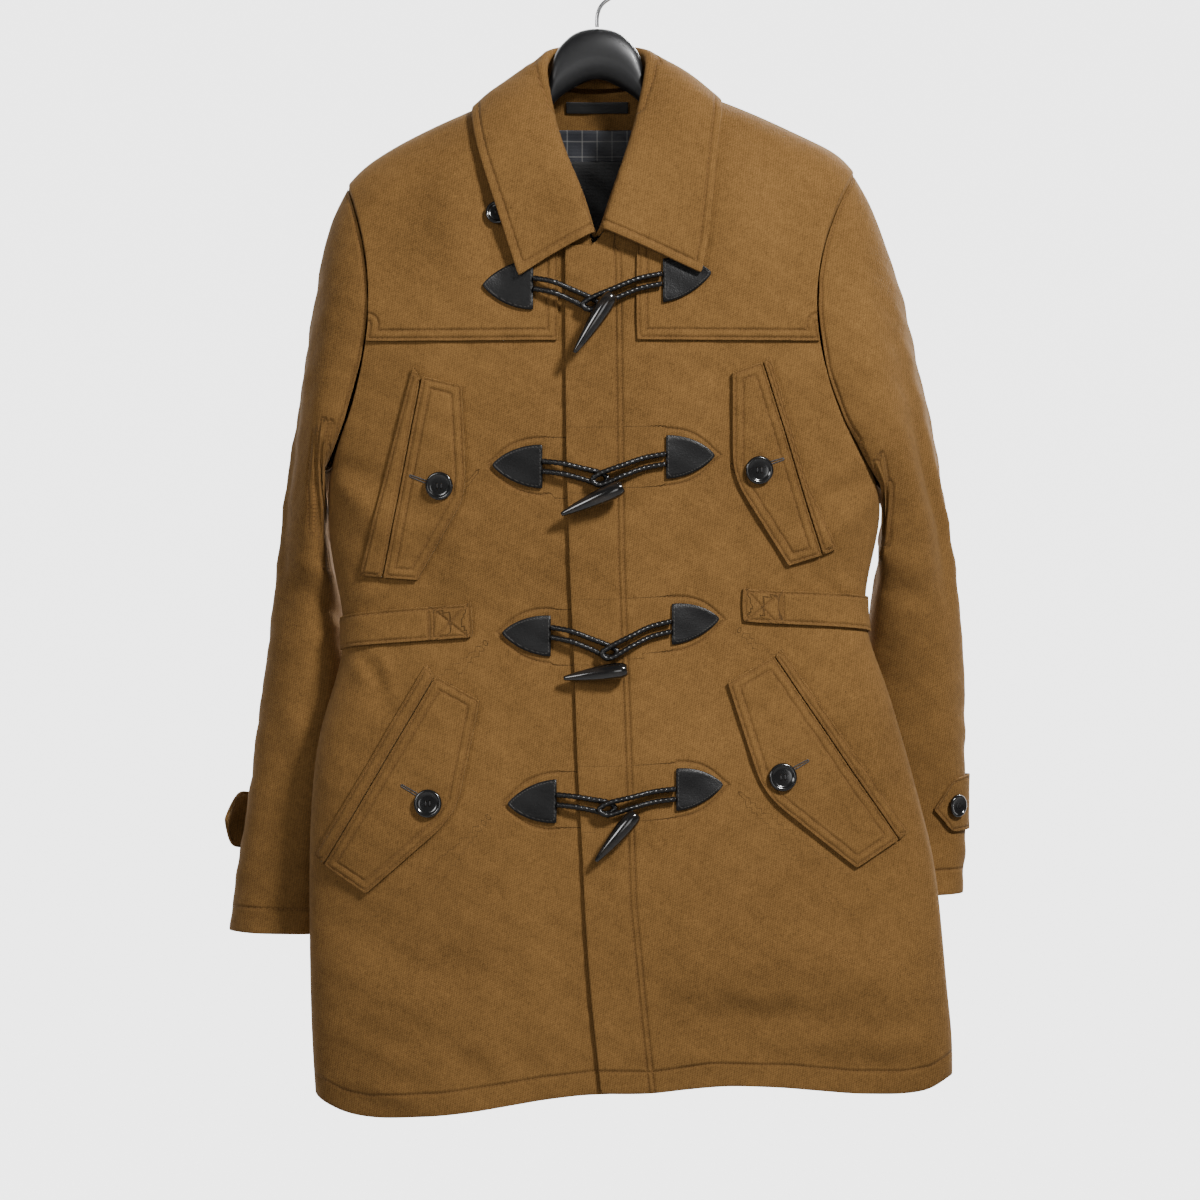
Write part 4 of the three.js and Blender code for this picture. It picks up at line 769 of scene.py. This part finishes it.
# Cuff tabs: short pointed straps sewn into the sleeve seam, that button down on the outside.
cuff_wool = wool("cuff_tab_wool", [("edge", 0.0024)], depth=0.0010)
for side, area in (("left", 0.0074), ("right", 0.0061)):
    tab, cut = cut_cloth("cuff_tab_" + side)
    mark_edges(tab, cut)
    finish_cloth(tab, "cuff_tab_" + side, cuff_wool)


# Toggle patches: arches of thin black leather that hold the ends of the cords, sewn down all round
# with black thread close to the edge, four to each front.
def leather(name):
    made, tree, shader = plain_nodes(name, (0.003, 0.003, 0.003), 0.44)
    shader.inputs["Specular IOR Level"].default_value = 0.28
    place = add(tree, "ShaderNodeTexCoord").outputs["Object"]
    cells = add(tree, "ShaderNodeTexVoronoi", [("Vector", place), ("Scale", 900.0)])
    pores = add(tree, "ShaderNodeTexNoise", [("Vector", place), ("Scale", 300.0), ("Detail", 5.0)])
    where = add(tree, "ShaderNodeAttribute", attribute_name="edge").outputs["Fac"]
    along = add(tree, "ShaderNodeAttribute", attribute_name="edge_run").outputs["Fac"]
    off = add(tree, "ShaderNodeMath", [(0, where), (1, 0.0019)], operation="SUBTRACT").outputs[0]
    gap = add(tree, "ShaderNodeMath", [(0, off)], operation="ABSOLUTE").outputs[0]
    wave = add(tree, "ShaderNodeMath", [(0, along), (1, 2 * math.pi / 0.0024)],
               operation="MULTIPLY").outputs[0]
    wave = add(tree, "ShaderNodeMath", [(0, wave)], operation="SINE").outputs[0]
    dash = add(tree, "ShaderNodeMath", [(0, wave), (1, -0.3)], operation="GREATER_THAN").outputs[0]
    close = add(tree, "ShaderNodeMath", [(0, gap), (1, 0.0004)], operation="LESS_THAN").outputs[0]
    sewn = add(tree, "ShaderNodeMath", [(0, close), (1, dash)], operation="MULTIPLY").outputs[0]
    shade = add(tree, "ShaderNodeMix", [(0, sewn), (6, (0.0028, 0.0026, 0.0026, 1)),
                                        (7, (0.030, 0.028, 0.026, 1))], data_type="RGBA")
    tree.links.new(shade.outputs[2], shader.inputs["Base Color"])
    grain = [(0, cells.outputs["Distance"]), (1, 0.5), (2, pores.outputs["Fac"])]
    height = add(tree, "ShaderNodeMath", grain, operation="MULTIPLY_ADD").outputs[0]
    height = add(tree, "ShaderNodeMath", [(0, sewn), (1, 0.8), (2, height)],
                 operation="MULTIPLY_ADD").outputs[0]
    raise_skin(tree, shader, height, 0.35, 0.0006)
    return made


patch_leather = leather("patch_leather")
for side in ("left", "right"):
    for number in (1, 2, 3, 4):
        patch, cut = cut_cloth(f"patch_{side}_{number}", level=2)
        mark_edges(patch, cut)
        wear_body(patch)
        points = points_of(patch)
        points[:, 1] -= 0.0004
        put_points(patch, points)
        ground = "cloth_yoke_" if number == 1 else "cloth_front_"
        finish_cloth(patch, f"patch_{side}_{number}", patch_leather)


# Toggles: polished tusks of dark horn, thick at the end that the cords are knotted through and drawn
# out to a blunt tip, each hanging at its own slant in the loop that holds it.
def horn(name):
    made, tree, shader = plain_nodes(name, (0.010, 0.008, 0.007), 0.16)
    shader.inputs["Coat Weight"].default_value = 0.7
    shader.inputs["Coat Roughness"].default_value = 0.06
    place = add(tree, "ShaderNodeTexCoord").outputs["Object"]
    long = add(tree, "ShaderNodeMapping", [("Vector", place), ("Scale", (40.0, 160.0, 190.0))])
    streak = add(tree, "ShaderNodeTexNoise", [
        ("Vector", long.outputs["Vector"]), ("Scale", 1.0), ("Detail", 5.0)])
    ramp = add(tree, "ShaderNodeValToRGB", [("Fac", streak.outputs["Fac"])])
    ramp.color_ramp.elements[0].position = 0.42
    ramp.color_ramp.elements[0].color = (0.0025, 0.0022, 0.0022, 1)
    ramp.color_ramp.elements[1].position = 0.78
    ramp.color_ramp.elements[1].color = (0.022, 0.016, 0.012, 1)
    tree.links.new(ramp.outputs["Color"], shader.inputs["Base Color"])
    raise_skin(tree, shader, streak.outputs["Fac"], 0.08, 0.0005)
    return made


toggle_horn = horn("toggle_horn")
for number in (1, 2, 3, 4):
    toggle, _ = cut_cloth(f"toggle_{number}", level=2, sharp=42, crease=0.55)
    toggle.name = f"horn_toggle_{number}"
    toggle.data.materials.append(toggle_horn)
    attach(toggle, "root")
    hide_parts(f"toggle_{number}")


# Buttons: turned black four-hole buttons with a rolled rim round a dished face, each sewn on with two
# bars of black thread. One closes each pocket flap and each cuff tab, and one sits under the collar.
def polished(name, colour, roughness, coat):
    made, tree, shader = plain_nodes(name, colour, roughness)
    shader.inputs["Coat Weight"].default_value = coat
    shader.inputs["Coat Roughness"].default_value = 0.1
    place = add(tree, "ShaderNodeTexCoord").outputs["Object"]
    cloud = add(tree, "ShaderNodeTexNoise", [("Vector", place), ("Scale", 240.0), ("Detail", 4.0)])
    shade = add(tree, "ShaderNodeMix", [(0, cloud.outputs["Fac"]), (6, (*[c * 0.6 for c in colour], 1)),
                                        (7, (*[c * 2.0 for c in colour], 1))], data_type="RGBA")
    tree.links.new(shade.outputs[2], shader.inputs["Base Color"])
    fine = add(tree, "ShaderNodeTexNoise", [("Vector", place), ("Scale", 1500.0)])
    raise_skin(tree, shader, fine.outputs["Fac"], 0.06, 0.0003)
    return made


def apply_to(piece, kind, **settings):
    changed = piece.modifiers.new(kind.lower(), kind)
    for key, value in settings.items():
        setattr(changed, key, value)
    bpy.ops.object.select_all(action="DESELECT")
    piece.select_set(True)
    bpy.context.view_layer.objects.active = piece
    bpy.ops.object.modifier_apply(modifier=changed.name)


BUTTON_PROFILE = [
    # share of the radius, share of the half height, from the back to the middle of the face
    (0.0, -1.0), (0.86, -1.0), (0.95, -0.74), (0.99, -0.30), (1.0, 0.12), (0.985, 0.50), (0.95, 0.80),
    (0.90, 0.96), (0.85, 1.0), (0.80, 0.94), (0.755, 0.78), (0.71, 0.54), (0.65, 0.36), (0.55, 0.27),
    (0.0, 0.20),
]
button_black = polished("button_black", (0.0030, 0.0028, 0.0028), 0.18, 0.5)
button_thread = dull_thread("button_thread", (0.012, 0.011, 0.011))


def set_button(node):
    """Turns a button on the middle, face and size of the CAD button that it replaces."""
    points = np.array([list(v.co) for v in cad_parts[node].data.vertices])
    points = np.unique(points.round(6), axis=0)
    centre = (points.max(axis=0) + points.min(axis=0)) / 2
    _, axes = np.linalg.eigh(np.cov((points - centre).T))
    face = axes[:, 0]
    outward = np.array([0, -1, 0])
    if "cuff" in node:
        sleeve_points = points_of(bpy.data.objects["cloth_sleeve_" + node.split("_")[-1]])
        band = sleeve_points[np.abs(sleeve_points[:, 2] - centre[2]) < 0.01]
        outward = centre - band.mean(axis=0)
    if face @ outward < 0:
        face = -face
    along = (points - centre) @ face
    half = (along.max() - along.min()) / 2
    middle = centre + face * (along.max() + along.min()) / 2
    radius = np.linalg.norm((points - centre) - along[:, None] * face, axis=1).max()
    profile = bpy.data.meshes.new(node)
    profile.from_pydata([(r * radius, 0, h * half) for r, h in BUTTON_PROFILE],
                        [(i, i + 1) for i in range(len(BUTTON_PROFILE) - 1)], [])
    button = bpy.data.objects.new("turned_" + node, profile)
    bpy.context.collection.objects.link(button)
    apply_to(button, "SCREW", steps=64, render_steps=64, use_merge_vertices=True, merge_threshold=0.00002)
    bpy.ops.object.mode_set(mode="EDIT")
    bpy.ops.mesh.select_all(action="SELECT")
    bpy.ops.mesh.remove_doubles(threshold=0.00001)
    bpy.ops.mesh.normals_make_consistent(inside=False)
    bpy.ops.object.mode_set(mode="OBJECT")
    pitch = radius * 0.15
    bars = []
    for x in (-pitch, pitch):
        for y in (-pitch, pitch):
            bpy.ops.mesh.primitive_cylinder_add(
                vertices=16, radius=radius * 0.075, depth=half * 6, location=(x, y, 0))
            drill = bpy.context.object
            apply_to(button, "BOOLEAN", object=drill, operation="DIFFERENCE", solver="EXACT")
            bpy.data.objects.remove(drill)
        bpy.ops.mesh.primitive_uv_sphere_add(
            segments=16, ring_count=10, radius=1, location=(x, 0, half * 0.28))
        bar = bpy.context.object
        bar.scale = (radius * 0.055, pitch * 1.25, half * 0.22)
        bars.append(bar)
    turn = Vector(face).to_track_quat("Z", "Y")
    for piece, material in [(button, button_black)] + [(bar, button_thread) for bar in bars]:
        piece.rotation_mode = "QUATERNION"
        local = Vector(piece.location)
        local.rotate(turn)
        piece.location = Vector(middle) + local
        piece.rotation_quaternion = turn
        bpy.ops.object.select_all(action="DESELECT")
        piece.select_set(True)
        bpy.context.view_layer.objects.active = piece
        bpy.ops.object.transform_apply(location=True, rotation=True, scale=True)
        bpy.ops.object.shade_smooth_by_angle(angle=math.radians(38))
        piece.data.materials.append(material)
        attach(piece, "root")
    for number, bar in enumerate(bars, 1):
        bar.name = f"thread_{node}_{number}"
    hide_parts(node)


for node in ("button_chest_left", "button_chest_right", "button_hip_left", "button_hip_right",
             "button_cuff_left", "button_cuff_right", "button_neck"):
    set_button(node)


# Back neck: a dark satin lining, a plain woven label sewn on it, and the tape loop at the collar seam.
# The lining's lines and the bare label are plain stand-ins for the real ones.
def satin(name, colour, grid):
    made, tree, shader = plain_nodes(name, colour, 0.42)
    shader.inputs["Sheen Weight"].default_value = 0.1
    weave = add(tree, "ShaderNodeUVMap", uv_map="weave").outputs["UV"]
    parts = add(tree, "ShaderNodeSeparateXYZ", [("Vector", weave)])
    fine = add(tree, "ShaderNodeTexNoise", [("Vector", weave), ("Scale", 900.0), ("Detail", 2.0)])
    ends = [(6, (*[c * 0.6 for c in colour], 1)), (7, (*[c * 1.5 for c in colour], 1))]
    colour_out = add(tree, "ShaderNodeMix", [(0, fine.outputs["Fac"])] + ends, data_type="RGBA").outputs[2]
    if grid:
        for way in ("X", "Y"):
            spot = add(tree, "ShaderNodeMath", [(0, parts.outputs[way]), (1, grid)],
                       operation="PINGPONG").outputs[0]
            line = add(tree, "ShaderNodeMath", [(0, spot), (1, 0.0005)], operation="LESS_THAN").outputs[0]
            line = add(tree, "ShaderNodeMath", [(0, line), (1, 0.32)], operation="MULTIPLY").outputs[0]
            colour_out = add(tree, "ShaderNodeMix", [(0, line), (6, colour_out), (7, (0.26, 0.25, 0.23, 1))],
                             data_type="RGBA").outputs[2]
    tree.links.new(colour_out, shader.inputs["Base Color"])
    ribs = add(tree, "ShaderNodeMath", [(0, parts.outputs["Y"]), (1, 2 * math.pi / 0.0012)],
               operation="MULTIPLY").outputs[0]
    ribs = add(tree, "ShaderNodeMath", [(0, ribs)], operation="SINE").outputs[0]
    height = add(tree, "ShaderNodeMath", [(0, ribs), (1, 0.25), (2, fine.outputs["Fac"])],
                 operation="MULTIPLY_ADD").outputs[0]
    raise_skin(tree, shader, height, 0.3, 0.0004)
    return made


for node, material, cut_size, area, slot, ground in (
    ("back_lining", satin("lining_satin", (0.013, 0.014, 0.019), 0.0065), (0.13, 0.19), 0.0227, "lining",
     "cloth_back"),
    ("neck_label", satin("label_weave", (0.008, 0.008, 0.008), 0), (0.076, 0.080), 0.0058, "label",
     "cloth_back_lining"),
    ("hanger_loop", satin("loop_tape", (0.010, 0.010, 0.010), 0), (0.0101, 0.060), None, "tape",
     "cloth_back"),
):
    piece, cut = cut_cloth(node)
    if node != "hanger_loop":
        wear_body(piece)
    finish_cloth(piece, node, material)


# Hanger: a black moulded hanger with a sloping arm to each shoulder and a plain neck, and its bent
# steel hook, which hangs from the rail at the origin.
hanger, _ = cut_cloth("hanger", level=2, sharp=66, crease=0.45)
hanger.name = "hanger_arms"
hanger.data.materials.append(polished("hanger_black", (0.0040, 0.0040, 0.0044), 0.42, 0.06))
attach(hanger, "root")
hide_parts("hanger")

steel, tree, shader = plain_nodes("hook_steel", (0.62, 0.62, 0.63), 0.22)
shader.inputs["Metallic"].default_value = 1
place = add(tree, "ShaderNodeTexCoord").outputs["Object"]
drawn = add(tree, "ShaderNodeTexNoise", [("Vector", place), ("Scale", 700.0)])
raise_skin(tree, shader, drawn.outputs["Fac"], 0.08, 0.0003)
hook, _ = cut_cloth("hook", level=2, sharp=66, crease=0.6)
hook.name = "bent_hook"
hook.data.materials.append(steel)
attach(hook, "root")
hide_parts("hook")
